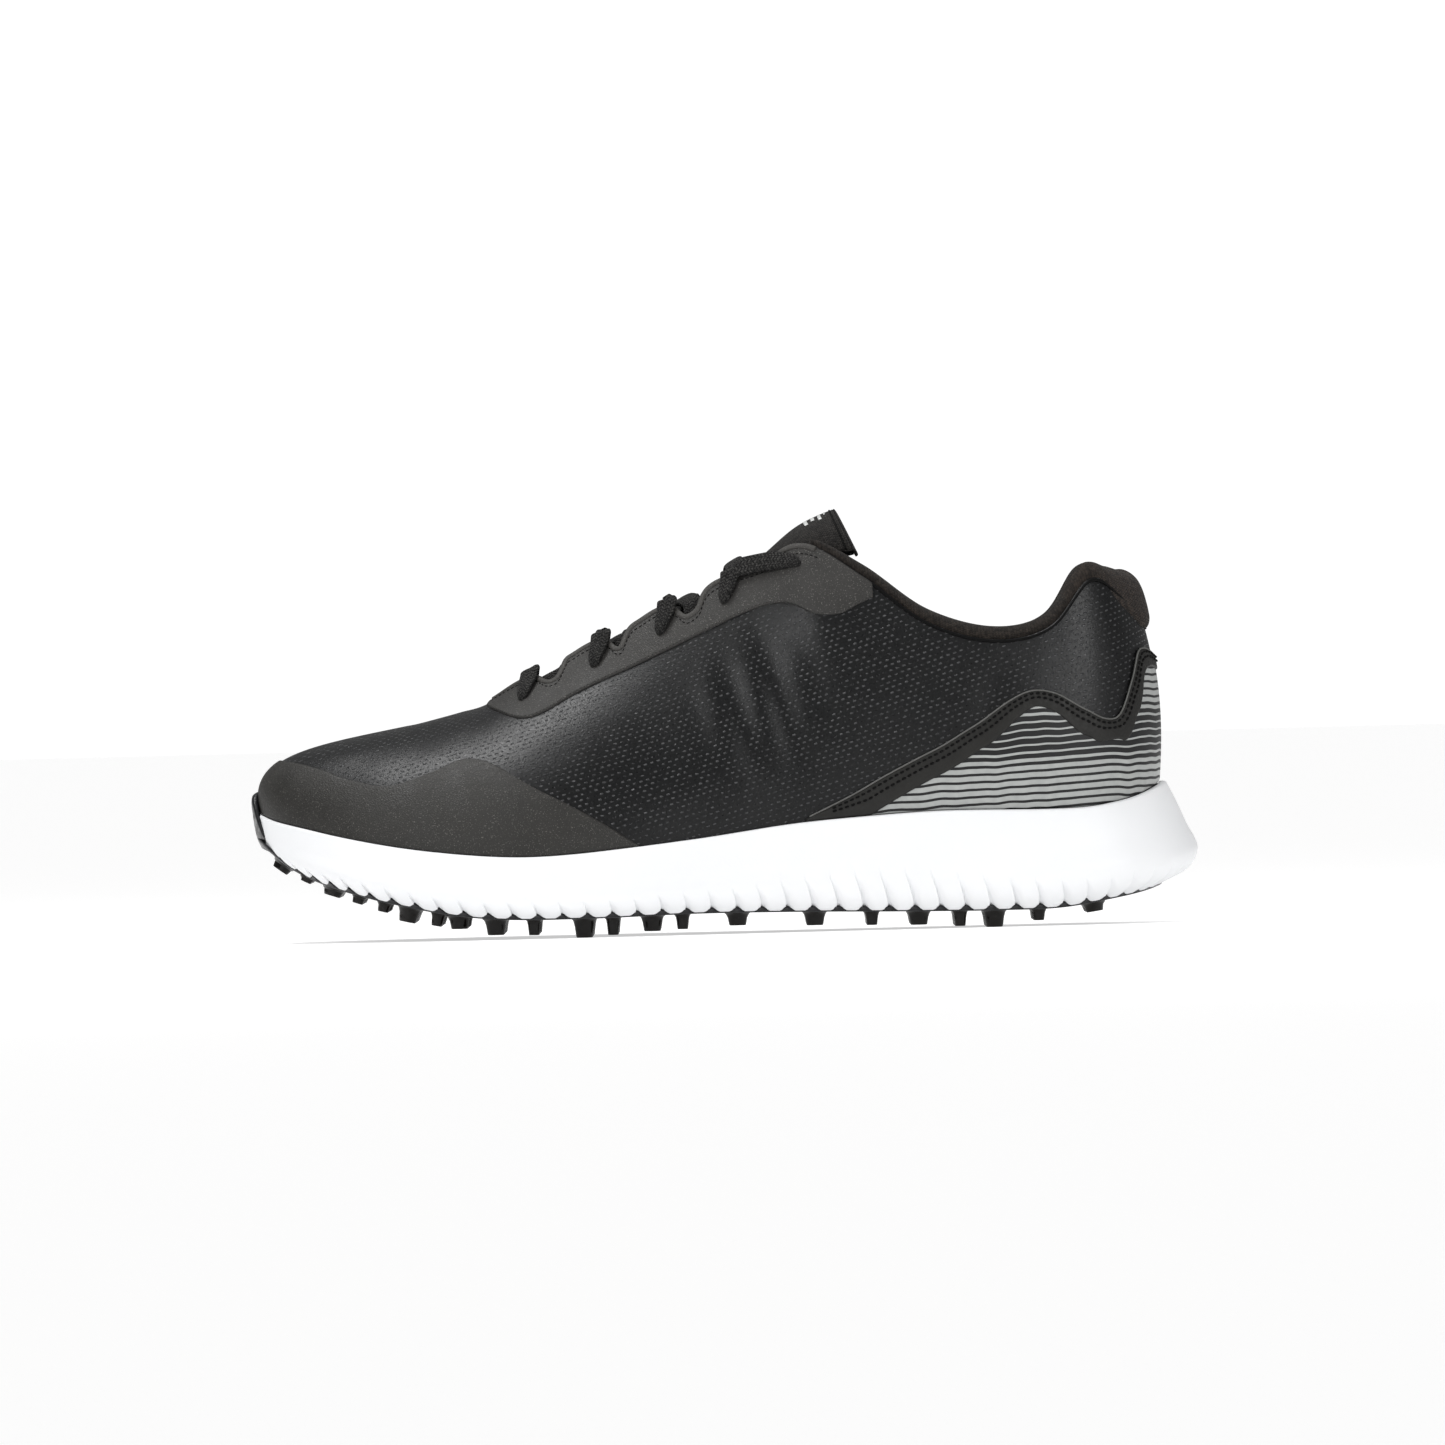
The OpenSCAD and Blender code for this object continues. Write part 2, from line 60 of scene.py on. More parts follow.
PANEL_T = 1.5
OVERLAY_T = 0.8
LINING_T = 0.7
PADDING_T = 4.5
PLATE_T = 1.5
BUMPER_T = 2.2
LUG_R = 3.6
SMALL_LUG_R = 2.4
LUG_SIDES = 40
FOOTBED_T = 4
LACE_W = 6.5
LACE_T = 1.6
TONGUE_FOAM_T = 5
FIT_GAP = 0.4
LINING_IN = PANEL_T + 1.4
TONGUE_SHELL_T = 1.1
TONGUE_FOAM_IN = -TONGUE_SHELL_T - TONGUE_FOAM_T
FOOTBED_IN = -(PANEL_T + 2 * LINING_T + 1.4)

# The last in 17 stations from the toe's tip round one side to the heel's back: the feather edge's
# x, outer y and inner y, how far the wall leans out and rises there, then the top edge's x, half
# width and height, and how far the wall spreads and drops from it
LAST = [
    [-145, 8, 8, 11, 25, -100, 4, 68.5, 36, 6.5],
    [-142, -8, 23, 9.5, 25, -97, 3.6, 69, 34, 7],
    [-132, -23, 33, 6, 24, -91, 2.7, 70.4, 32, 7],
    [-114, -37, 41, 7, 24, -83, 1.5, 72.4, 28, 6],
    [-90, -45, 47, 9, 24, -74.5, 0, 74.8, 27, 5],
    [-62, -48.5, 48.2, 10, 24, -61, 6.5, 82.5, 23, 12],
    [-32, -46, 43, 8, 30, -37, 8.5, 94.5, 19, 18],
    [-2, -40.5, 36, 6, 34, -10, 11.5, 107.2, 18, 22],
    [25, -36, 32.5, 4, 36, 13, 15.5, 117.6, 16, 26],
    [45, -34, 31.5, 4, 34, 28, 21, 123, 15, 30],
    [62, -33, 31.5, 4, 30, 46, 27, 112.5, 9, 30],
    [80, -32.5, 31.5, 4, 26, 66, 30, 97.4, 6, 24],
    [98, -31.5, 31, 4, 24, 87, 30, 91.2, 5, 22],
    [113, -28.5, 28.5, 4, 24, 105, 27, 95, 5, 24],
    [124, -23, 23, 4, 26, 118, 20, 109.8, 7, 30],
    [132.5, -13.5, 13.5, 4, 28, 127.5, 12.5, 104.5, 8, 28],
    [136.5, 0, 0, 4, 28, 135.5, 0, 94.2, 5, 20],
]
# Heights along the shoe as (x, z): the board, the foam's underside, the lugs' tips and the top
# line of the foam's ribs
BOARD = [[-150, 38], [-140, 31.5], [-130, 27], [-115, 22.5], [-100, 19.5], [-80, 17.3], [-45, 16.5],
         [-10, 19], [25, 23], [60, 26], [100, 27.5], [140, 28.5]]
UNDERSIDE = [[-150, 35.4], [-145, 31], [-138, 25.4], [-129, 20.8], [-113, 15.5], [-100, 12.3],
             [-88, 9.8], [-73, 8], [-45, 7.5], [-8, 8.2], [24, 7.9], [56, 7.2], [88, 6.8],
             [107, 7.2], [120, 9.1], [135, 12.2], [145, 16.1], [151, 19]]
TIP = [[-145, 26], [-124, 15], [-108, 9.5], [-100, 6], [-84.5, 3.7], [-73, 1.5], [-61, 1.2],
       [-45, 0], [-23.5, 1.5], [3.5, 2.6], [28, 2], [61, 1.3], [85, 0], [116.5, 4], [129, 7.2]]
RIB_TOP = [[-150, 36], [-144, 29.9], [-118, 20.6], [-94, 15], [-58, 12.1], [-34, 13], [-1, 15.4],
           [29, 19.9], [52, 21.7], [76, 19.2], [100, 16.3], [124, 16.5], [137.6, 19.3], [151, 24]]

# How much the foam's wall stands out from the feather edge at each station: lower edge, widest
FLARE = [[0.5, 2.4], [0.5, 3], [1, 4.5], [2, 6], [2.5, 7], [2.5, 7], [2.5, 7], [2.5, 7], [2.5, 7],
         [2.5, 7], [2.5, 7.5], [2.5, 8], [3, 9], [3, 10.5], [3, 12], [3, 14], [3, 14.2]]
# Shares of the lower edge, the widest line and the rim in the foam's wall, by share of its height
FOAM = [[0, 1, 0, 0], [0.12, 0.35, 0.65, 0], [0.32, 0, 1, 0], [0.6, 0, 0.62, 0.38],
        [0.82, 0, 0.3, 0.7], [1, 0, 0, 1]]
RIM = [[0, 0.1], [1, 0.1], [2.3, 0.13], [5, 0.124], [7, 0.11], [9, 0.108], [11, 0.135],
       [14.2, 0.14], [16, 0.21]]

# Panel edges on the wall as (station, v)
TOE_EDGE = [[0, 0.49], [1.5, 0.48], [2.5, 0.43], [3.1, 0.42], [3.6, 0.49], [4.1, 0.56], [4.5, 0.54],
            [5.2, 0.38], [6.2, 0.11]]
STAY_EDGE = [[4, 0.96], [4.48, 0.83], [4.97, 0.743], [5.61, 0.784], [6.34, 0.806], [7.08, 0.821],
             [7.86, 0.832], [8.31, 0.816], [8.55, 0.795], [8.98, 0.758], [9.46, 0.794], [9.85, 0.875],
             [10.28, 0.975]]
BAND_EDGE = [[8, 0.115], [9.1, 0.2], [10.5, 0.37], [11.4, 0.54], [12.1, 0.69], [12.5, 0.73],
             [12.9, 0.69], [13.4, 0.56], [13.8, 0.48], [14.2, 0.48], [14.7, 0.63], [15.1, 0.77],
             [15.5, 0.83], [16, 0.845]]
BAND_V = 0.08  # the band's width
TOE_FILM_END = 6.15  # stations where the panels end or begin
STRIPES_START = 8.6
BAND_START = 8.05
# The throat's edge: it stays high where a lace goes over it and dips between two laces
SCALLOP = [[4, 1], [4.98, 1], [5.12, 0.975], [5.24, 0.92], [5.34, 0.903], [5.42, 0.915], [5.49, 0.955],
           [5.54, 0.99], [5.62, 1], [5.96, 1], [6.05, 0.972], [6.12, 0.925], [6.19, 0.92], [6.26, 0.96],
           [6.33, 0.99], [6.42, 1], [6.76, 1], [6.85, 0.965], [6.93, 0.925], [7.02, 0.92], [7.12, 0.935],
           [7.21, 0.98], [7.3, 1], [7.6, 1], [7.9, 0.99], [8.2, 0.99], [8.5, 1], [9.3, 1]]

# The collar's roll from station 9 on: its middle inwards and up, half width and half height
ROLL = [[2, 0.4, 1.4, 1.8], [3.8, 0.4, 3, 3.4], [4.6, 0.4, 4, 4], [4.6, 0.4, 4, 4],
        [4.8, 0.4, 3.9, 3.7], [5, 0.2, 4.3, 4.1], [7.2, 2, 6.8, 7.1], [9.4, 9.4, 9.2, 8.9]]
ROLL_START = 9
COLLAR_START = 9.1
HEEL_PAD_START = 13.4
TUCK = 9.5  # the station where the lace's ends lie inside
# Profile of the heel's pad over the roll, in shares of the roll's half width and height
HEEL_PAD = [[0.02, 1.02], [0.28, 1.02], [0.55, 0.9], [0.8, 0.66], [0.98, 0.3], [1.1, -0.12], [1.18, -0.5],
            [1.21, -0.78], [1.16, -1.0], [1.05, -1.12], [0.94, -1.1]]

# The tongue's middle line as (x, z, radius across, half angle across)
TONGUE = [[-86, 65, 40, 19], [-62, 74.5, 30, 23], [-38, 88.1, 24, 25.5], [-12, 102.6, 20, 31],
          [10, 116.3, 20, 36], [25, 128.4, 20, 57], [37, 134, 21, 72]]

# Lace holes of one side as (station, v), from the toe
EYELETS = [[4.92, 0.862], [5.85, 0.885], [6.63, 0.9], [7.45, 0.91], [8.84, 0.926]]
LAST_HOLE = len(EYELETS) - 1

# Large lugs as (x, shares of the half width), and the places of the rows of small ones
FOREFOOT = [[-140, [0]], [-124, [-0.82, -0.25, 0.3, 0.85]], [-100, [-0.84, -0.42, 0, 0.42, 0.84]],
            [-84.5, [-0.86, -0.3, 0.3, 0.86]], [-73, [-0.88, -0.45, 0, 0.45, 0.88]],
            [-45, [-0.88, -0.45, 0, 0.45, 0.88]]]
ARCH = [[-23.5, [-0.86, -0.3, 0.3, 0.86]], [3.5, [-0.86, -0.3, 0.3, 0.86]],
        [28, [-0.86, -0.3, 0.3, 0.86]]]
HEEL = [[61, [-0.84, -0.3, 0.3, 0.84]], [85, [-0.84, -0.42, 0, 0.42, 0.84]], [116.5, [-0.8, 0, 0.8]]]
SMALL = [-132.5, -116, -108, -91, -61, -36, -14, 46, 74, 99]
SMALL_SHARES = [-0.88, -0.3, 0.3, 0.88]


# ---------------------------------------------------------------- curves and surfaces

def mix(a, b, t):
    return a + (b - a) * t


def smooth(t):
    t = np.clip(t, 0, 1)
    return t * t * (3 - 2 * t)


def curve(table, x):
    """Smooth curve through the table's (x, y) points."""
    xs, ys = np.array(table, float).T
    x = np.clip(x, xs[0], xs[-1])
    i = np.clip(np.searchsorted(xs, x, side="right") - 1, 0, len(xs) - 2)
    slope = np.diff(ys) / np.diff(xs)
    tangent = np.concatenate([slope[:1], (slope[1:] + slope[:-1]) / 2, slope[-1:]])
    step = xs[i + 1] - xs[i]
    t = (x - xs[i]) / step
    return ((2 * t**3 - 3 * t**2 + 1) * ys[i] + (t**3 - 2 * t**2 + t) * step * tangent[i]
            + (3 * t**2 - 2 * t**3) * ys[i + 1] + (t**3 - t**2) * step * tangent[i + 1])


def spline(rows, t, ring=False):
    """Rows blended by a Catmull-Rom curve, with t counted in rows."""
    rows = np.array(rows, float)
    t = np.asarray(t, float)
    i = np.floor(t).astype(int)
    f = (t - i)[..., None]
    last = len(rows)
    pick = (lambda k: rows[(i + k) % last]) if ring else (lambda k: rows[np.clip(i + k, 0, last - 1)])
    a, b, c, d = (pick(k) for k in (-1, 0, 1, 2))
    return 0.5 * (2 * b + (c - a) * f + (2 * a - 5 * b + 4 * c - d) * f**2 + (3 * b - a - 3 * c + d) * f**3)


def distances(points):
    """Length of the path up to each of its points."""
    return np.concatenate([[0], np.cumsum(np.linalg.norm(np.diff(points, axis=0), axis=1))])


def unit(v):
    return v / np.maximum(np.linalg.norm(v, axis=-1, keepdims=True), 1e-9)


def half(u):
    """Station as counted from the toe along its own side."""
    return HALF - np.abs(HALF - np.mod(u, RING))


def round_heel(start, count):
    """Stations from one side to the other round the heel."""
    return np.linspace(start, RING - start, count)


def ring_rows():
    """The 32 stations right round: outer side from toe to heel, then the inner side back."""
    rows = []
    for k in range(RING):
        outer = k <= HALF
        r = LAST[k if outer else RING - k]
        side = 1 if not outer or k <= THROAT else -1
        rows.append([r[0], r[1] if outer else r[2], r[3], r[4], r[5], side * r[6], *r[7:]])
    return rows


STATIONS = ring_rows()


def station(u):
    """The last's row at u, where u runs over the ring's 32 stations from the toe."""
    return spline(STATIONS, u, ring=True)


def outward(u):
    """Level unit vector that points out of the shoe at station u."""
    step = unit((station(u + 0.01) - station(u - 0.01))[..., :2])
    return np.stack([step[..., 1], -step[..., 0], np.zeros_like(step[..., 0])], -1)


def wall(u, v):
    """Point of the upper's outer face: u runs round the ring, v from the feather edge upwards."""
    u, v = np.broadcast_arrays(np.asarray(u, float), np.asarray(v, float))
    r, out, w = station(u), outward(u), (1 - v)[..., None]
    v = v[..., None]
    ridge = np.clip((RIDGE_END - r[..., 4]) * RIDGE_SLOPE, 0, 4)
    foot = np.stack([r[..., 0], r[..., 1], curve(BOARD, r[..., 0])], -1)
    top = np.stack([r[..., 4], np.where(half(u) <= THROAT, ridge, r[..., 5]), r[..., 6]], -1)
    up = np.array([0, 0, 1.0])
    lean = foot + out * r[..., 2:3] + up * r[..., 3:4]
    spread = top + out * r[..., 7:8] - up * r[..., 8:9]
    return w**3 * foot + 3 * w**2 * v * lean + 3 * w * v**2 * spread + v**3 * top


def wall_normal(u, v):
    v = np.clip(v, 0.01, 0.97)
    return unit(np.cross(wall(u + 0.01, v) - wall(u - 0.01, v), wall(u, v + 0.01) - wall(u, v - 0.01)))


def dent(u, v):
    """Soft folds and hollows of the flanks, mm along the normal."""
    p = wall(u, v)
    x, z = p[..., 0], p[..., 2]
    side = smooth((v - 0.18) / 0.2) * smooth((0.97 - v) / 0.2) * smooth((half(u) - 4.5) / 1.5)
    folds = 0.55 * np.sin((x + 0.3 * z) * 2 * math.pi / 15) * np.exp(-((x - 14) / 19)**2 - ((z - 72) / 20)**2)
    hollow = -1.2 * np.exp(-((x + 20) / 16)**2 - ((z - 62) / 22)**2)
    crease = -0.5 * np.exp(-((x - 0.35 * z - 60) / 5)**2 - ((z - 70) / 14)**2)
    return side * (folds + hollow + crease)


def lift(u, v, d):
    """Point of the wall moved out by d."""
    u, v, d = np.broadcast_arrays(np.asarray(u, float), np.asarray(v, float), np.asarray(d, float))
    return wall(u, v) + wall_normal(u, v) * (d + dent(u, v))[..., None]


def padding(u, v):
    """How far the ankle padding brings the lining in from the wall."""
    h = half(u)
    return (PADDING_T * smooth((v - 0.45) / 0.3) * smooth((h - 9.2) / 1.4)
            + 7.5 * smooth((v - 0.6) / 0.4) * smooth((h - 13.6) / 2))


def outline(u, d, table, up=0.0):
    """Point of the sole's outline, standing out by d, at the table's height plus up."""
    r, out = station(u), outward(u)
    x = r[..., 0] + out[..., 0] * d
    return np.stack([x, r[..., 1] + out[..., 1] * d, curve(table, x) + up], -1)


def rim(u):
    """v of the foam's top edge on the wall."""
    return curve(RIM, half(u))


def throat(u):
    """v of the upper's top edge, with the throat's scallops."""
    return np.where(half(u) <= THROAT, 1.0, curve(SCALLOP, half(u)))


def tongue_at(a, b, d):
    """Point of the tongue: a from its seam (0) to its top edge (6), b from -1 to 1 across, d out."""
    a, b, d = np.broadcast_arrays(np.asarray(a, float), np.asarray(b, float), np.asarray(d, float))
    r = spline(TONGUE, a)
    t = unit((spline(TONGUE, a + 0.02) - spline(TONGUE, a - 0.02))[..., :2])
    n = np.stack([-t[..., 1], np.zeros_like(a), t[..., 0]], -1)
    q = np.radians(b * r[..., 3])[..., None]
    middle = np.stack([r[..., 0], np.zeros_like(a), r[..., 1]], -1) - n * r[..., 2:3]
    return middle + (n * np.cos(q) + np.array([0, 1.0, 0]) * np.sin(q)) * (r[..., 2:3] + d[..., None])


# ---------------------------------------------------------------- meshes

def add(name, data, place=(0, 0, 0)):
    """Object of the data block, linked to the scene."""
    piece = bpy.data.objects.new(name, data)
    piece.location = place
    bpy.context.scene.collection.objects.link(piece)
    return piece


def make(name, points, faces, uv, material, body="shoe", stands_for=(), slot=None, sharp=None):
    """Mesh object from points in millimetres, turned the right way out, riding on its body.

    material is a key of MATERIALS, and uv has one pair in millimetres per point."""
    points = np.asarray(points, float)
    quads = np.array([list(f) + [f[-1]] * (4 - len(f)) for f in faces])
    a, b, c, d = (points[quads[:, k]] for k in range(4))
    volume = np.sum(a * np.cross(b, c)) + np.sum(a * np.cross(c, d))
    if volume < 0:
        faces = [tuple(reversed(f)) for f in faces]
    mesh = bpy.data.meshes.new(name)
    mesh.from_pydata((points * MM).tolist(), [], [tuple(int(k) for k in f) for f in faces])
    layer = mesh.uv_layers.new(name="UVMap")
    corner = np.empty(len(mesh.loops), int)
    mesh.loops.foreach_get("vertex_index", corner)
    layer.data.foreach_set("uv", uv[corner].ravel())
    mesh.shade_smooth()
    if sharp:
        mesh.set_sharp_from_angle(angle=math.radians(sharp))
    mesh.materials.append(MATERIALS[material])
    piece = add(name, mesh)
    if body:
        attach(piece, body)
    if stands_for:
        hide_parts(*stands_for)
    return piece


def loft_parts(loops, closed=False, first=0):
    """Faces and UVs (mm) of a solid through loops of equal length."""
    loops = np.asarray(loops, float)
    n, m = loops.shape[:2]
    faces = []
    for i in range(n if closed else n - 1):
        k = (i + 1) % n
        for j in range(m):
            q = (j + 1) % m
            faces.append((first + i * m + j, first + k * m + j, first + k * m + q, first + i * m + q))
    if not closed:
        for j in range(m // 2 - 1):
            faces.append((first + j, first + j + 1, first + m - 2 - j, first + m - 1 - j))
            end = first + (n - 1) * m
            faces.append((end + m - 1 - j, end + m - 2 - j, end + j + 1, end + j))
    middle = loops[:, :m // 2].mean(1)
    run = distances(middle)
    around = np.linalg.norm(np.diff(loops, axis=1), axis=2).mean(0)
    around = np.concatenate([[0], np.cumsum(around)])
    uv = np.stack(np.meshgrid(run, around, indexing="ij"), -1).reshape(-1, 2)
    return faces, uv


def loft(name, loops, material, closed=False, **rest):
    faces, uv = loft_parts(loops, closed)
    return make(name, np.asarray(loops).reshape(-1, 3), faces, uv, material, **rest)


def many(name, solids, material, **rest):
    """One piece from several separate lofts, each given as its loops."""
    points, faces, uvs, first = [], [], [], 0
    for loops in solids:
        loops = np.asarray(loops, float)
        f, uv = loft_parts(loops, first=first)
        points.append(loops.reshape(-1, 3))
        uvs.append(uv)
        faces += f
        first += loops.shape[0] * loops.shape[1]
    return make(name, np.concatenate(points), faces, np.concatenate(uvs), material, **rest)


EDGE_IN = np.array([0, 0.06, 0.18, 0.36, 0.62, 1.0])  # distances in from a panel's edge, mm
EDGE_UP = np.array([0.3, 0.6, 0.8, 0.92, 0.99, 1.0])  # its thickness there, as a share


def patch_loops(us, low, high, inner, outer, rows=12):
    """Cross sections of a patch of the wall, with rounded edges."""
    loops = []
    for u in us:
        a, b = float(low(u)), float(high(u))
        length = max(np.linalg.norm(wall(u, b) - wall(u, a)), 0.05)
        edge = EDGE_IN * min(1, 0.3 * length / EDGE_IN[-1]) / length
        share = np.concatenate([edge, np.linspace(edge[-1], 1 - edge[-1], rows + 1)[1:-1], 1 - edge[::-1]])
        up = np.concatenate([EDGE_UP, np.ones(rows - 1), EDGE_UP[::-1]])
        v = mix(a, b, share)
        loops.append(np.concatenate([lift(u, v, inner + (outer - inner) * up), lift(u, v, inner)[::-1]]))
    return np.array(loops)


def ring_shell(name, us, low, high, inner, outer, rows, material, uv_at=None, **rest):
    """Shell of the wall along stations us; its two sides share their points along the vamp's ridge.

    us is symmetrical about the toe, and high gives v of the top edge. A full ring runs from -16
    to 16 with the heel's station left out at one end."""
    us = np.asarray(us)
    full = np.isclose(us[-1] - us[0] + (us[1] - us[0]), RING, atol=0.6)
    n, c = len(us), rows + 1
    share = smooth(np.linspace(0, 1, c) * 0.5 + 0.25) - smooth(0.25)
    share = mix(share / share[-1], np.linspace(0, 1, c), 0.5)
    v = mix(low, high(us)[:, None], share[None, :])
    layers = [lift(us[:, None], v, d) for d in (inner, outer)]
    middle = int(np.argmin(np.abs(us)))
    mirror = {i: 2 * middle - i for i in range(n) if us[i] < -1e-6 and us[i] >= -THROAT - 1e-6}

    def index(i, j, layer):
        i %= n
        if j == rows and i in mirror:
            i = mirror[i]
        return (layer * n + i) * c + j

    faces = []
    vamp = [abs(u) <= THROAT + 1e-6 for u in us]
    for i in range(n if full else n - 1):
        k = (i + 1) % n
        for j in range(rows):
            faces.append((index(i, j, 1), index(k, j, 1), index(k, j + 1, 1), index(i, j + 1, 1)))
            faces.append((index(i, j, 0), index(i, j + 1, 0), index(k, j + 1, 0), index(k, j, 0)))
        faces.append((index(i, 0, 0), index(k, 0, 0), index(k, 0, 1), index(i, 0, 1)))
        if not (vamp[i] and vamp[k]):
            faces.append((index(k, rows, 0), index(i, rows, 0), index(i, rows, 1), index(k, rows, 1)))
    if not full:
        for i, turn in ((0, 1), (n - 1, -1)):
            for j in range(rows):
                face = (index(i, j, 0), index(i, j, 1), index(i, j + 1, 1), index(i, j + 1, 0))
                faces.append(face[::turn])
    points = np.concatenate([layer.reshape(-1, 3) for layer in layers])
    grid = np.stack(np.broadcast_arrays(us[:, None] * STATION_MM, v * WALL_MM), -1).reshape(-1, 2)
    uv = np.concatenate([grid, grid]) if uv_at is None else np.tile(uv_at(us, v).reshape(-1, 2), (2, 1))
    used = np.unique([k for f in faces for k in f])
    renumber = np.full(len(points), -1)
    renumber[used] = np.arange(len(used))
    faces = [tuple(renumber[k] for k in dict.fromkeys(f)) for f in faces]
    faces = [f for f in faces if len(f) > 2]
    return make(name, points[used], faces, uv[used], material, **rest)


def stack(name, levels, material, **rest):
    """Solid between stacked closed outlines of the sole, given from the bottom up."""
    levels = np.asarray(levels, float)
    m, n = levels.shape[:2]
    faces = []
    for i in range(m - 1):
        for j in range(n):
            k = (j + 1) % n
            faces.append((i * n + j, i * n + k, (i + 1) * n + k, (i + 1) * n + j))
    for j in range(n // 2 - 1):
        faces.append((n - 1 - j, n - 2 - j, j + 1, j))
        top = (m - 1) * n
        faces.append((top + j, top + j + 1, top + n - 2 - j, top + n - 1 - j))
    run = distances(levels[0])
    rise = np.concatenate([[0], np.cumsum(np.linalg.norm(np.diff(levels, axis=0), axis=2).mean(1))])
    uv = np.stack(np.meshgrid(rise, run, indexing="ij"), -1)[..., ::-1].reshape(-1, 2)
    return make(name, levels.reshape(-1, 3), faces, uv, material, **rest)


def outline_stations(count):
    """Stations round the sole, placed so that they face each other in pairs across the shoe."""
    return (np.arange(count) + 0.5) * RING / count


def cord_loops(path, normals, width, thickness, sides=16, power=0.8):
    """Cross sections of a flat, rounded cord along a path; width and thickness are per point."""
    path = np.asarray(path, float)
    t = unit(np.gradient(path, axis=0))
    w = unit(np.cross(t, normals))
    h = unit(np.cross(w, t))
    q = (np.arange(sides) + 0.5) * 2 * math.pi / sides
    side = np.sign(np.cos(q)) * np.abs(np.cos(q))**power
    rise = np.sign(np.sin(q)) * np.abs(np.sin(q))**power
    width, thickness = (np.broadcast_to(s, len(path)) for s in (width, thickness))
    return (path[:, None] + w[:, None] * (side * 0.5)[None, :, None] * width[:, None, None]
            + h[:, None] * (rise * 0.5)[None, :, None] * thickness[:, None, None])


def resample(points, step):
    """Points at an even step along a smooth curve through the given ones."""
    dense = spline(points, np.linspace(0, len(points) - 1, (len(points) - 1) * 12 + 1))
    run = distances(dense)
    at = np.linspace(0, run[-1], max(int(run[-1] / step), 4))
    return np.stack([np.interp(at, run, dense[:, k]) for k in range(dense.shape[1])], -1)


def stitches(name, rows, material, pitch, length, radius, **rest):
    """Rows of separate stitches; each row is a dense path and the surface normals along it."""
    solids = []
    profile = np.array([0.35, 0.85, 1.0, 0.85, 0.35])
    along = np.array([-0.5, -0.32, 0, 0.32, 0.5])
    sink = np.array([-0.35, 0.1, 0.3, 0.1, -0.35])
    for path, normals in rows:
        both = resample(np.concatenate([path, normals * 10], 1), pitch)
        p, n = both[:, :3], unit(both[:, 3:])
        t = unit(np.gradient(p, axis=0))
        for i in range(len(p)):
            line = p[i] + np.outer(along * length, t[i]) + np.outer(sink * radius, n[i])
            solids.append(cord_loops(line, np.tile(n[i], (5, 1)), 2 * radius * profile,
                                     2 * radius * profile, sides=6, power=1))
    many(name, solids, material, **rest)


def wall_path(us, v_of, d):
    """Points and normals d above the wall, at v_of each station."""
    v = v_of(us)
    return lift(us, v, d), wall_normal(us, v)


# ---------------------------------------------------------------- materials

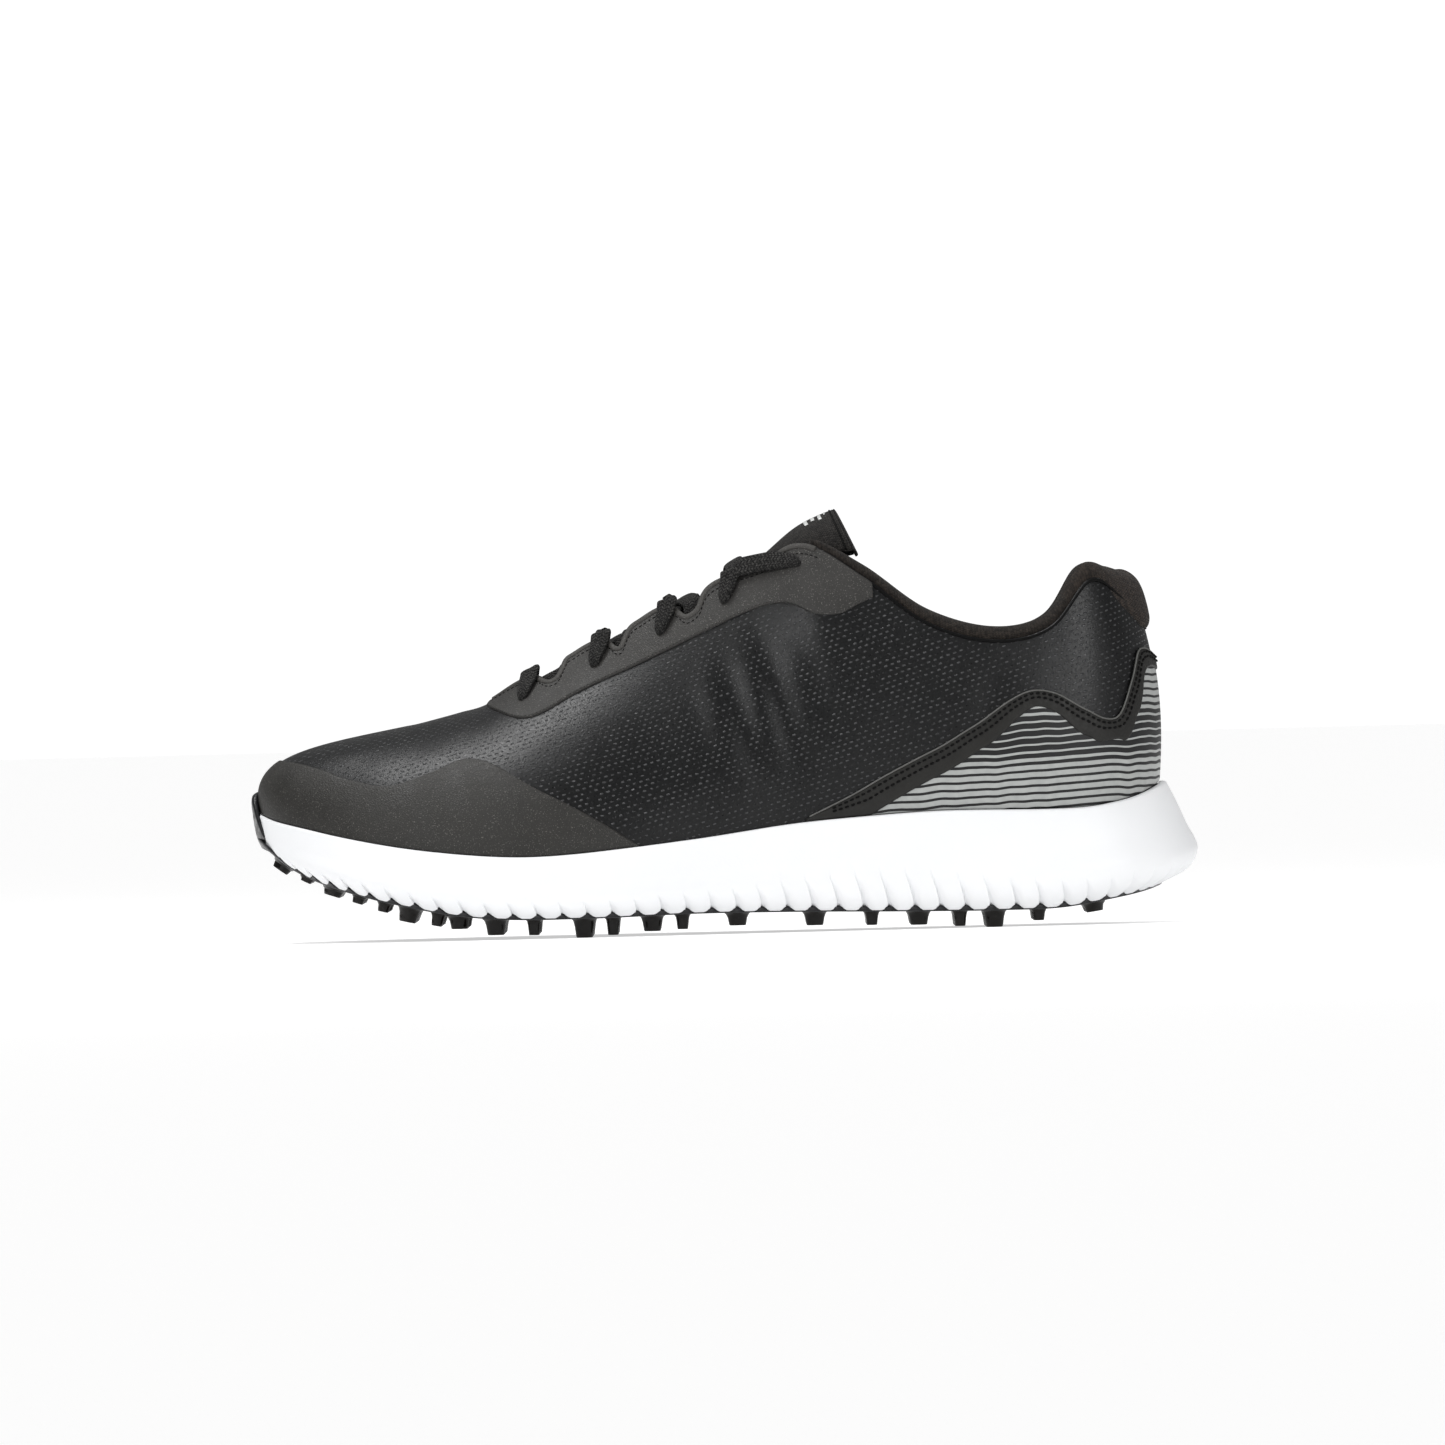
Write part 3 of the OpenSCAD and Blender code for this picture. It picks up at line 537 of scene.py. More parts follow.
class Shader:
    """Small helper that grows a Principled material's node tree."""

    def __init__(self, name, color, rough, **sockets):
        self.material = bpy.data.materials.new(name)
        self.material.use_nodes = True
        self.tree = self.material.node_tree
        self.bsdf = self.tree.nodes["Principled BSDF"]
        self.bsdf.inputs["Base Color"].default_value = (*color, 1)
        self.bsdf.inputs["Roughness"].default_value = rough
        for key, value in sockets.items():
            self.bsdf.inputs[key.replace("_", " ")].default_value = value
        self.coords = self.tree.nodes.new("ShaderNodeTexCoord")

    def put(self, socket, value):
        if isinstance(value, bpy.types.NodeSocket):
            self.tree.links.new(value, socket)
        elif value is not None:
            socket.default_value = value

    def math(self, operation, a, b=None, c=None):
        node = self.tree.nodes.new("ShaderNodeMath")
        node.operation = operation
        for socket, value in zip(node.inputs, (a, b, c)):
            self.put(socket, value)
        return node.outputs[0]

    def times(self, a, b):
        return self.math("MULTIPLY", a, b)

    def ramp(self, value, low, high, to_low=0.0, to_high=1.0):
        node = self.tree.nodes.new("ShaderNodeMapRange")
        node.interpolation_type = "SMOOTHSTEP"
        for socket, item in zip(node.inputs, (value, low, high, to_low, to_high)):
            self.put(socket, item)
        return node.outputs[0]

    def noise(self, size, detail=2.0, stretch=(1, 1, 1)):
        """3-D noise whose features are about size millimetres across."""
        place = self.tree.nodes.new("ShaderNodeMapping")
        place.inputs["Scale"].default_value = stretch
        self.put(place.inputs["Vector"], self.coords.outputs["Object"])
        node = self.tree.nodes.new("ShaderNodeTexNoise")
        self.put(node.inputs["Vector"], place.outputs[0])
        node.inputs["Scale"].default_value = 1 / (size * MM)
        node.inputs["Detail"].default_value = detail
        return node.outputs["Fac"]

    def cells(self, size):
        """Distance from the middle of cells that are about size millimetres across."""
        node = self.tree.nodes.new("ShaderNodeTexVoronoi")
        self.put(node.inputs["Vector"], self.coords.outputs["Object"])
        node.inputs["Scale"].default_value = 1 / (size * MM)
        return node.outputs["Distance"]

    def axis(self, source, index):
        """One coordinate: of the UV map in mm, or of the object's own space in mm."""
        node = self.tree.nodes.new("ShaderNodeSeparateXYZ")
        self.put(node.inputs[0], self.coords.outputs[source])
        value = node.outputs[index]
        return value if source == "UV" else self.times(value, 1 / MM)

    def blend(self, share, a, b):
        node = self.tree.nodes.new("ShaderNodeMix")
        node.data_type = "RGBA"
        self.put(node.inputs["Factor"], share)
        for socket, value in ((node.inputs["A"], a), (node.inputs["B"], b)):
            self.put(socket, (*value, 1) if isinstance(value, tuple) else value)
        return node.outputs["Result"]

    def shades(self, share, color, low, high):
        """Colour that goes from low times to high times the given one."""
        return self.blend(share, tuple(c * low for c in color), tuple(min(c * high, 1) for c in color))

    def color(self, value):
        self.put(self.bsdf.inputs["Base Color"], value)

    def rough(self, value):
        self.put(self.bsdf.inputs["Roughness"], value)

    def bump(self, height, depth, strength=1.0):
        """Bump of the given depth in mm; a second call adds to the first."""
        node = self.tree.nodes.new("ShaderNodeBump")
        node.inputs["Distance"].default_value = depth * MM
        node.inputs["Strength"].default_value = strength
        self.put(node.inputs["Height"], height)
        normal = self.bsdf.inputs["Normal"]
        if normal.links:
            self.put(node.inputs["Normal"], normal.links[0].from_socket)
        self.put(normal, node.outputs[0])

    def fraction(self, value, pitch):
        """Saw-tooth from 0 to 1 along each pitch."""
        return self.math("FRACT", self.times(value, 1 / pitch))


def bricks(s, u, v, pitch_u, pitch_v, half_u, radius):
    """Staggered raised dashes: 1 on a dash, falling to 0 at its rounded edge."""
    row = s.math("FLOOR", s.math("DIVIDE", v, pitch_v))
    odd = s.times(s.math("MODULO", s.math("ABSOLUTE", row), 2.0), 0.5)
    across = s.math("SUBTRACT", s.fraction(v, pitch_v), 0.5)
    along = s.math("FRACT", s.math("ADD", s.math("DIVIDE", u, pitch_u), odd))
    along = s.times(s.math("ABSOLUTE", s.math("SUBTRACT", along, 0.5)), pitch_u)
    along = s.math("MAXIMUM", s.math("SUBTRACT", along, half_u), 0.0)
    across = s.times(across, pitch_v)
    squares = s.math("ADD", s.times(along, along), s.times(across, across))
    return s.ramp(s.math("SQRT", squares), radius * 0.35, radius, 1.0, 0.0)


def textured_upper():
    s = Shader("textured_upper", (0.005, 0.005, 0.005), 0.32, Specular_IOR_Level=0.3)
    u, v = s.axis("UV", 0), s.axis("UV", 1)
    dash = bricks(s, u, v, 2.7, 2.1, 0.4, 0.42)
    fine = s.noise(0.6, 3)
    raised_dash_and_painted_glint = s.times(dash, s.ramp(s.noise(1.6, 2), 0.38, 0.62))
    # The dashes are coloured lighter than the panel between them: painted glints, on top of the dashes' own
    # raised bump.
    s.color(s.blend(raised_dash_and_painted_glint, (0.0035, 0.0037, 0.004), (0.05, 0.051, 0.053)))
    s.rough(s.math("ADD", s.ramp(fine, 0.3, 0.75, 0.32, 0.46), s.times(dash, -0.08)))
    s.bump(s.noise(26, 1), 1.2, 0.6)
    s.bump(fine, 0.09, 0.9)
    s.bump(raised_dash_and_painted_glint, 0.2)
    return s.material


def matte_film(name, color, speck, grain=0.35, gloss=0.25):
    """Thin matte film with a fine pebble grain and faint bright specks."""
    s = Shader(name, color, 0.55, Specular_IOR_Level=gloss)
    mottle = s.noise(9, 3)
    specks = s.ramp(s.noise(0.4, 1), 0.6, 0.76)
    tone = s.shades(s.ramp(mottle, 0.3, 0.7), color, 0.88, 1.12)
    s.color(s.blend(s.times(specks, 0.7), tone, speck))
    s.rough(s.ramp(mottle, 0.3, 0.7, 0.48, 0.6))
    s.bump(s.cells(grain * 1.4), 0.1)
    return s.material


def striped_panel():
    """Printed heel panel: light wavy lines on black, thick at the top and bottom, thin between."""
    s = Shader("striped_panel", (0.4, 0.41, 0.4), 0.4, Specular_IOR_Level=0.3)
    x, z = s.axis("Object", 0), s.axis("Object", 2)
    wave = s.times(s.math("SUBTRACT", s.noise(11, 1, (1, 1, 0.25)), 0.5), 2.0)
    height = s.math("ADD", s.math("MULTIPLY_ADD", x, -0.045, z), wave)
    line = s.math("ABSOLUTE", s.math("SUBTRACT", s.fraction(height, 2.35), 0.5))
    thin = s.math("SUBTRACT", s.ramp(z, 49, 57), s.ramp(z, 64, 72))
    width = s.math("MULTIPLY_ADD", thin, -0.2, 0.33)
    light = s.ramp(s.math("SUBTRACT", line, width), -0.02, 0.02, 1.0, 0.0)
    print_tone = s.blend(s.noise(2.5, 2), (0.27, 0.28, 0.275), (0.38, 0.39, 0.38))
    s.color(s.blend(light, (0.008, 0.008, 0.0085), print_tone))
    s.rough(s.ramp(light, 0, 1, 0.5, 0.33))
    s.bump(light, 0.12)
    s.bump(s.noise(0.6, 2), 0.04)
    return s.material


def band_leather():
    s = Shader("band", (0.014, 0.0135, 0.0125), 0.55, Specular_IOR_Level=0.2)
    s.color(s.blend(s.noise(4, 2), (0.012, 0.0117, 0.011), (0.02, 0.0195, 0.018)))
    s.rough(s.ramp(s.noise(1.5, 2), 0.3, 0.7, 0.42, 0.6))
    s.bump(s.cells(0.9), 0.08)
    return s.material


def knit(name, dark, light, pitch=0.9):
    """Fine knitted cloth: columns of slanted loops, with painted shade in the hollows between them."""
    s = Shader(name, dark, 0.88, Sheen_Weight=0.06, Specular_IOR_Level=0.15)
    u, v = s.axis("UV", 0), s.axis("UV", 1)
    column = s.math("SUBTRACT", s.fraction(u, pitch), 0.5)
    slant = s.math("ABSOLUTE", column)
    loop = s.fraction(s.math("MULTIPLY_ADD", slant, pitch * 0.9, v), pitch * 0.72)
    ridge = s.math("SINE", s.times(loop, math.pi))
    edge = s.ramp(slant, 0.34, 0.5, 1.0, 0.15)
    height = s.times(ridge, edge)
    # Colour follows the loops' height times random noise: painted shade in the hollows, and random tone
    # besides.
    tone = s.times(height, s.ramp(s.noise(1.1, 3), 0.3, 0.75))
    s.color(s.blend(tone, dark, light))
    s.bump(height, 0.16)
    s.bump(s.noise(0.25, 2), 0.05)
    return s.material


def woven(name, dark, light, pitch):
    """Plain weave: threads over and under in both directions, with painted shade where they dip."""
    s = Shader(name, dark, 0.85, Sheen_Weight=0.04, Specular_IOR_Level=0.15)
    u, v = s.axis("UV", 0), s.axis("UV", 1)
    over = s.math("SINE", s.times(u, math.pi / pitch))
    under = s.math("SINE", s.times(v, math.pi / pitch))
    height = s.math("MULTIPLY_ADD", s.times(over, under), 0.5, 0.5)
    # Colour follows the weave's height times random noise: painted shade where the threads dip, and random
    # tone besides.
    tone = s.times(height, s.ramp(s.noise(0.8, 2), 0.25, 0.75))
    s.color(s.blend(tone, dark, light))
    s.bump(height, 0.15)
    s.bump(s.noise(0.3, 2), 0.05)
    return s.material


def lace_weave():
    """Flat braid: slanted picks that meet in the middle of the lace, with painted shade between the picks."""
    s = Shader("lace", (0.012, 0.012, 0.012), 0.85, Sheen_Weight=0.04, Specular_IOR_Level=0.15)
    u, v = s.axis("UV", 0), s.axis("UV", 1)
    herring = s.math("PINGPONG", v, 1.1)
    pick = s.fraction(s.math("MULTIPLY_ADD", herring, 0.8, u), 1.15)
    height = s.math("SINE", s.times(pick, math.pi))
    across = s.math("SINE", s.times(s.fraction(v, 0.75), math.pi))
    height = s.times(height, s.math("MULTIPLY_ADD", across, 0.6, 0.4))
    # Colour follows the braid's height times random noise: painted shade between the picks, and random tone
    # besides.
    tone = s.times(height, s.ramp(s.noise(0.7, 2), 0.3, 0.7))
    s.color(s.blend(tone, (0.003, 0.003, 0.003), (0.06, 0.058, 0.055)))
    s.bump(height, 0.4)
    s.bump(s.noise(0.25, 2), 0.06)
    return s.material


def foam_white():
    s = Shader("white_foam", (0.76, 0.77, 0.78), 0.5, Subsurface_Weight=0.08, Subsurface_Scale=0.004)
    s.bsdf.inputs["Subsurface Radius"].default_value = (1.0, 1.0, 1.0)
    skin = s.noise(0.8, 3)
    s.color(s.blend(s.noise(30, 2), (0.74, 0.75, 0.765), (0.78, 0.785, 0.795)))
    s.rough(s.ramp(skin, 0.3, 0.7, 0.42, 0.56))
    s.bump(skin, 0.035)
    return s.material


def rubber(name, color, rough=0.36):
    s = Shader(name, color, rough, Specular_IOR_Level=0.3)
    s.color(s.shades(s.noise(6, 3), color, 0.8, 1.3))
    s.rough(s.ramp(s.noise(2, 3), 0.3, 0.7, rough - 0.08, rough + 0.12))
    s.bump(s.noise(0.5, 3), 0.04)
    return s.material


def clear_rubber():
    """Lugs of smoky black-brown moulded rubber with a glossy skin."""
    s = Shader("lug_rubber", (0.003, 0.0024, 0.002), 0.16, Specular_IOR_Level=0.22)
    s.color(s.blend(s.noise(3, 2), (0.0016, 0.0013, 0.0011), (0.006, 0.0045, 0.0035)))
    s.rough(s.ramp(s.noise(1.5, 2), 0.3, 0.7, 0.1, 0.26))
    s.bump(s.noise(1.2, 2), 0.06)
    return s.material


def plastic(name, color, rough, gloss=0.5):
    s = Shader(name, color, rough, Specular_IOR_Level=gloss)
    s.color(s.shades(s.noise(3, 2), color, 0.85, 1.2))
    s.bump(s.noise(0.6, 2), 0.02)
    return s.material


def fleece(name, color, size=0.8, depth=0.25):
    """Open foam or felt: cells and fibres, with painted shade in the cells' pits."""
    s = Shader(name, color, 0.92)
    cell = s.cells(size)
    # Colour darkens towards each cell's middle, where the bump dips: painted shade in the pits.
    s.color(s.shades(s.ramp(cell, 0.1, 0.6), color, 0.7, 1.2))
    s.bump(cell, depth)
    return s.material


MATERIALS = {
    "upper": textured_upper(),
    "toe": matte_film("toe_film", (0.014, 0.0132, 0.0115), (0.12, 0.115, 0.105), 0.35, 0.42),
    "stay": matte_film("stay_film", (0.029, 0.028, 0.0265), (0.15, 0.145, 0.135)),
    "stay_edge": matte_film("stay_edge", (0.045, 0.043, 0.04), (0.12, 0.115, 0.11), 0.25),
    "stripes": striped_panel(),
    "band": band_leather(),
    "collar": knit("collar_knit", (0.008, 0.0065, 0.0055), (0.042, 0.034, 0.028)),
    "heel_tab": knit("heel_tab_knit", (0.009, 0.0068, 0.0055), (0.05, 0.038, 0.03), 1.0),
    "tongue": knit("tongue_knit", (0.0075, 0.007, 0.0065), (0.036, 0.033, 0.03), 0.8),
    "binding": woven("binding_tape", (0.008, 0.0075, 0.007), (0.035, 0.033, 0.03), 0.5),
    "lining": woven("mesh_lining", (0.009, 0.009, 0.01), (0.045, 0.045, 0.048), 0.7),
    "footbed_cloth": woven("footbed_cloth", (0.012, 0.012, 0.013), (0.04, 0.04, 0.043), 0.6),
    "patch": plastic("patch_print", (0.5, 0.51, 0.5), 0.35),
    "lace": lace_weave(),
    "aglet": plastic("aglet", (0.012, 0.012, 0.012), 0.18),
    "edge": plastic("cut_edge", (0.085, 0.085, 0.08), 0.6),
    "thread": plastic("thread", (0.0025, 0.0025, 0.0025), 0.6, 0.1),
    "foam": foam_white(),
    "plate": rubber("outsole_rubber", (0.004, 0.0042, 0.0055)),
    "bumper": rubber("bumper_rubber", (0.006, 0.0062, 0.0075), 0.34),
    "lug": clear_rubber(),
    "stiffener": fleece("stiffener_board", (0.5, 0.46, 0.4), 0.6, 0.1),
    "board": fleece("strobel_cloth", (0.6, 0.57, 0.52), 0.5, 0.15),
    "padding": fleece("open_foam", (0.12, 0.12, 0.125)),
    "footbed_foam": fleece("footbed_foam", (0.07, 0.075, 0.085)),
}


# ---------------------------------------------------------------- sole

RIB_PITCH = 8.0
RIB_SHARES = np.array([0, 0.03, 0.1, 0.18, 0.27, 0.38, 0.5, 0.62, 0.73, 0.82, 0.9, 0.97])
RIB_LEAN = 2.7
RIB_DEPTH = 1.3
RIB_DROP = 1.05  # how far the ribs hang below the foam's underside


def rib_columns():
    """Lengths round the foam, and the share of its rib at each, an equal number on both sides."""
    u = np.linspace(0, RING, 2049)
    p = outline(u, spline(FLARE, half(u))[..., 1], UNDERSIDE)
    run = distances(p[:, :2])
    heel = run[1024]
    ribs_a, ribs_b = round(heel / RIB_PITCH), round((run[-1] - heel) / RIB_PITCH)
    lengths, shares = [], []
    for start, end, count, inner in ((0, heel, ribs_a, False), (heel, run[-1], ribs_b, True)):
        for k in range(count):
            share = 1 - RIB_SHARES[::-1] if inner else RIB_SHARES
            lengths.append(start + (end - start) * (k + share) / count)
            shares.append(RIB_SHARES[::-1] if inner else RIB_SHARES)
    lengths, shares = np.concatenate(lengths), np.concatenate(shares)
    return lengths, shares, run, u


RIB_S, RIB_F, RIB_RUN, RIB_U = rib_columns()


def rib_station(back):
    """Station of every column, moved towards the toe by back millimetres."""
    u = np.interp(RIB_S, RIB_RUN, RIB_U)
    towards_toe = np.clip(np.sin(u * 2 * math.pi / RING) * 3, -1, 1)
    s = np.mod(RIB_S - back * towards_toe, RIB_RUN[-1])
    return np.interp(s, RIB_RUN, RIB_U)


def notch(f):
    """1 in the notch between two ribs, 0 along a rib's lower edge."""
    return 1 - smooth(np.minimum(f, 1 - f) / 0.27)


def lip_thickness(u):
    """Thickness of the foam's lip round the upper, thin at the toe."""
    return mix(1, 2.4, smooth(half(u) / 3))


def foam_level(t):
    """Outline of the foam at share t of its height, with the ribs cut in."""
    back = RIB_LEAN * smooth(t / 0.45)
    u = rib_station(back)
    flare = spline(FLARE, half(u))
    low, widest = outline(u, flare[:, 0], UNDERSIDE), outline(u, flare[:, 1], UNDERSIDE)
    top = lift(u, rim(u), FIT_GAP + lip_thickness(u))
    bottom_z = low[:, 2] - RIB_DROP + notch(RIB_F)
    z = mix(bottom_z, top[:, 2], t)
    rise = (z - low[:, 2] + RIB_DROP) / (top[:, 2] - low[:, 2] + RIB_DROP)
    shares = [curve([[r[0], r[k]] for r in FOAM], rise)[:, None] for k in (1, 2, 3)]
    p = low * shares[0] + widest * shares[1] + top * shares[2]
    p[:, 2] = z
    line = curve(RIB_TOP, p[:, 0])
    h = np.clip((line - p[:, 2]) / np.maximum(line - low[:, 2], 1), 0, 1.2)
    cut = RIB_DEPTH * smooth(h * 1.1) * (1 - smooth(RIB_F / (0.1 + 0.42 * h)))
    crown = 0.5 * smooth(h) * (2 * RIB_F - 1)**2
    return p - outward(u) * (cut + crown)[:, None]


def make_midsole():
    """White foam: ribbed wall, a thin lip round the upper and the seat for the board."""
    shares = np.concatenate([np.linspace(0, 0.5, 20), np.linspace(0.5, 0.985, 15)[1:], [1.0]])
    levels = [foam_level(t) for t in shares]
    u = rib_station(RIB_LEAN)
    thick = lip_thickness(u)
    for share, rise in ((0.85, 0.28), (0.5, 0.4), (0.15, 0.28), (0.02, 0)):
        p = lift(u, rim(u), FIT_GAP + thick * share)
        p[:, 2] += rise
        levels.append(p)
    levels.append(lift(u, rim(u) / 2, FIT_GAP))
    levels.append(outline(u, FIT_GAP, BOARD, -1.4))
    stack("midsole_foam", levels, "foam", stands_for=["midsole"], slot="white_foam", sharp=48)


def make_plate():
    """Outsole sheet below the foam, with a scalloped edge that shows between the ribs."""
    u = rib_station(0)
    flare = spline(FLARE, half(u))[:, 0]
    reach = mix(3.8, 0, smooth((half(u) - 0.8) / 1.2))
    bump = notch(RIB_F)
    edge = flare - 0.5 + reach
    out = 1.3 * bump * smooth((half(u) - 1.5) / 1)
    levels = []
    for d, z in ((-3.0, -1.5), (-0.5, -1.5), (-0.12, -1.38), (0.1, -1.1)):
        levels.append(outline(u, edge + d, UNDERSIDE, z))
    for d, z in ((0.2, -0.6), (0.1, -0.1), (-0.3, 0.15)):
        p = outline(u, edge + d + out, UNDERSIDE, z)
        p[:, 2] += 0.4 * bump * smooth((half(u) - 1.5) / 1)
        levels.append(p)
    levels.append(outline(u, edge - 1.5, UNDERSIDE, -0.05))
    stack("outsole_sheet", levels, "plate", stands_for=["outsole_plate"],
          slot="outsole_rubber", sharp=50)


# How far the toe rand's outer face stands out from the feather edge, by height
RAND = [[24, 0.4], [27, 1.2], [30.4, 2.6], [33.6, 4], [37.3, 4.8], [41.4, 5.3], [45.6, 5.6], [47.6, 5.1],
        [48.7, 4]]


def make_bumper():
    """Rubber rand that wraps up over the toe of the foam."""
    reach = 0.95  # stations from the toe's middle
    loops = []
    rows = np.sin(np.linspace(-math.pi / 2, math.pi / 2, 33)) * 0.5 + 0.5
    for u in np.linspace(-reach, reach, 61):
        fade = abs(u) / reach
        foot = outline(u, 1.0, UNDERSIDE, -1.2)
        top = mix(48.6, foot[2] + 3, smooth(fade)**1.3)
        z = mix(foot[2], top, rows)
        stand = curve(RAND, z) - 1.2 * fade**2
        lip = np.sqrt(np.clip(1 - (1 - np.clip((top - z) / 1.3, 0, 1))**2, 0, 1))
        thick = np.minimum(BUMPER_T, 1.2 + 0.06 * (z - foot[2])) * mix(0.15, 1, lip) * mix(1, 0.35, fade**2)
        sides = []
        for d in (stand - (1 - lip) * 0.8, stand - thick - (1 - lip) * 0.8):
            p = outline(u, d, UNDERSIDE)
            p[:, 2] = z
            sides.append(p)
        loops.append(np.concatenate([sides[0], sides[1][::-1]]))
    loft("toe_rand", loops, "bumper", stands_for=["toe_bumper"], slot="outsole_rubber")


# Profile of a lug from its root as (depth, size, flutes): the depth is in mm along the flared root,
# then a share of the lug's height; size and flutes are shares of their full value
LUG_ROOT = [(0, 1.22, 0), (0.4, 1.18, 0), (0.75, 1.05, 0.4), (1.2, 0.97, 1)]
LUG_SHANK = [(0.45, 0.86, 1), (0.75, 0.79, 1), (0.93, 0.745, 1), (0.985, 0.71, 0.9), (1.0, 0.63, 0.6),
             (0.985, 0.45, 0.3), (0.97, 0.2, 0)]


def lug_loops(x, share, r, lobes):
    """Tapered lug with flutes, a flared root and a rounded tip, square to the sole where it's steep."""
    side = [[row[0], row[1] if share < 0 else row[2]] for row in LAST]
    y = abs(share) * float(np.interp(x, *np.array(side, float).T))
    table = np.array(UNDERSIDE, float).T
    top = float(np.interp(x, *table)) - PLATE_T + 0.5
    slope = math.atan((np.interp(x + 4, *table) - np.interp(x - 4, *table)) / 8)
    tilt = -slope if abs(math.degrees(slope)) > 8 else 0.0
    height = max((top - float(np.interp(x, *np.array(TIP, float).T))) * math.cos(tilt), 0.9 * r)
    q = np.arange(LUG_SIDES) * 2 * math.pi / LUG_SIDES
    flute = 1 - 0.1 * (0.5 - 0.5 * np.cos(lobes * q))**0.6
    loops = []
    for deep, size, cut in LUG_ROOT + [(depth * height, size, cut) for depth, size, cut in LUG_SHANK]:
        radius = r * size * mix(1, flute, cut)
        ring = np.stack([radius * np.cos(q), radius * np.sin(q), np.full(LUG_SIDES, -deep)], -1)
        turned = np.stack([ring[:, 0] * math.cos(tilt) + ring[:, 2] * math.sin(tilt), ring[:, 1],
                           -ring[:, 0] * math.sin(tilt) + ring[:, 2] * math.cos(tilt)], -1)
        loops.append(turned + np.array([x, y, top]))
    return loops


def make_lugs(name, node, rows, r, lobes):
    solids = [lug_loops(x, share, r, lobes) for x, shares in rows for share in shares]
    many(name, solids, "lug", stands_for=[node], slot="lug_rubber", sharp=38)


# ---------------------------------------------------------------- inside and footbed

def make_footbed():
    u = outline_stations(256)
    foam, cover = [], []
    for d, z in ((0, 0), (-0.4, 2.2), (0, FOOTBED_T)):
        foam.append(outline(u, FOOTBED_IN + d, BOARD, FIT_GAP + z))
    stack("footbed_foam", foam, "footbed_foam", body="footbed", stands_for=["sockliner"],
          slot="footbed_foam")
    top = FIT_GAP + FOOTBED_T
    for d, z in ((0, 0.05), (0.25, 0.45), (0.1, 0.95), (-0.5, 1.15), (-1.6, 1.0), (-4, 0.75), (-8, 0.62)):
        cover.append(outline(u, FOOTBED_IN + d, BOARD, top + z))
    stack("footbed_cover", cover, "footbed_cloth", body="footbed",
          stands_for=["sockliner_cover"], slot="footbed_cloth")


def make_inside():
    u = outline_stations(192)
    board = [outline(u, -0.3, BOARD, z) for z in (-1.3, -0.1)]
    stack("strobel_sole", board, "board", stands_for=["strobel_board"], slot="board_fabric")
    counter = patch_loops(round_heel(11.5, 60), lambda u: 0.03, lambda u: 0.42,
                          -PANEL_T - 1.2, -PANEL_T - 0.1)
    loft("heel_stiffener", counter, "stiffener", stands_for=["heel_counter"], slot="stiffener")
    puff = patch_loops(np.linspace(-3, 3, 60), lambda u: 0.03, lambda u: 0.7, -PANEL_T - 0.7, -PANEL_T - 0.1)
    loft("toe_stiffener", puff, "stiffener", stands_for=["toe_puff"], slot="stiffener")
    us = np.linspace(-9, 9, 217)
    ring_shell("vamp_mesh_lining", us, 0.03, lambda u: throat(u) - 0.015, -LINING_IN - LINING_T, -LINING_IN,
               26, "lining", stands_for=["vamp_lining"], slot="lining")


def roll_point(u, degrees, grow=0.0):
    """Point round the collar's roll: 0 degrees faces outwards, 90 up; grow adds to its radius."""
    r = spline(ROLL, half(u) - ROLL_START)
    out, q = outward(u), np.radians(degrees)
    middle = wall(u, 1) - out * r[..., 0:1]
    return (middle + out * (r[..., 2:3] + grow) * np.cos(q) + np.array([0, 0, 1.0])
            * (r[..., 1:2] + (r[..., 3:4] + grow) * np.sin(q)))


def make_collar():
    us = round_heel(COLLAR_START, 241)
    loops = []
    for u in us:
        outer = [roll_point(u, q) for q in range(75, -46, -10)]
        inner = [roll_point(u, q) for q in range(105, 226, 10)]
        v = np.linspace(0.9, 0.03, 26)
        face = lift(u, v, -LINING_IN - padding(u, v))
        back = lift(u, v, -LINING_IN - LINING_T - padding(u, v))
        loops.append(np.concatenate([outer, face, back[::-1], inner[::-1]]))
    piece = loft("collar_roll", loops, "collar", stands_for=["collar_lining"], slot="collar_knit")
    loops = []
    for u in round_heel(9.5, 120):
        v = np.linspace(0.47, 0.9, 14)
        inner = lift(u, v, -LINING_IN + 0.1 - padding(u, v))
        loops.append(np.concatenate([lift(u, v, -PANEL_T - 0.1), inner[::-1]]))
    pad = loft("collar_padding", loops, "padding", stands_for=["collar_foam"], slot="padding")
    loops = []
    shape = spline(HEEL_PAD, np.linspace(0, len(HEEL_PAD) - 1, 41))
    for u in round_heel(HEEL_PAD_START, 121):
        r = spline(ROLL, half(u) - ROLL_START)
        middle = wall(u, 1) - outward(u) * r[0]
        ends = smooth((half(u) - HEEL_PAD_START) / 1.5)
        under = np.stack([roll_point(u, q, 0.05) for q in np.linspace(88, -50, 41)])
        far = (middle + np.outer(shape[:, 0] * r[2], outward(u))
               + np.outer(r[1] + shape[:, 1] * r[3], [0, 0, 1]))
        outer = mix(under + unit(under - middle) * 0.1, far, ends)
        loops.append(np.concatenate([outer, mix(under - unit(under - middle) * 0.4, under, 0.5)[::-1]]))
    tab = loft("heel_pad", loops, "heel_tab", stands_for=["heel_tab"], slot="collar_knit")


# ---------------------------------------------------------------- upper

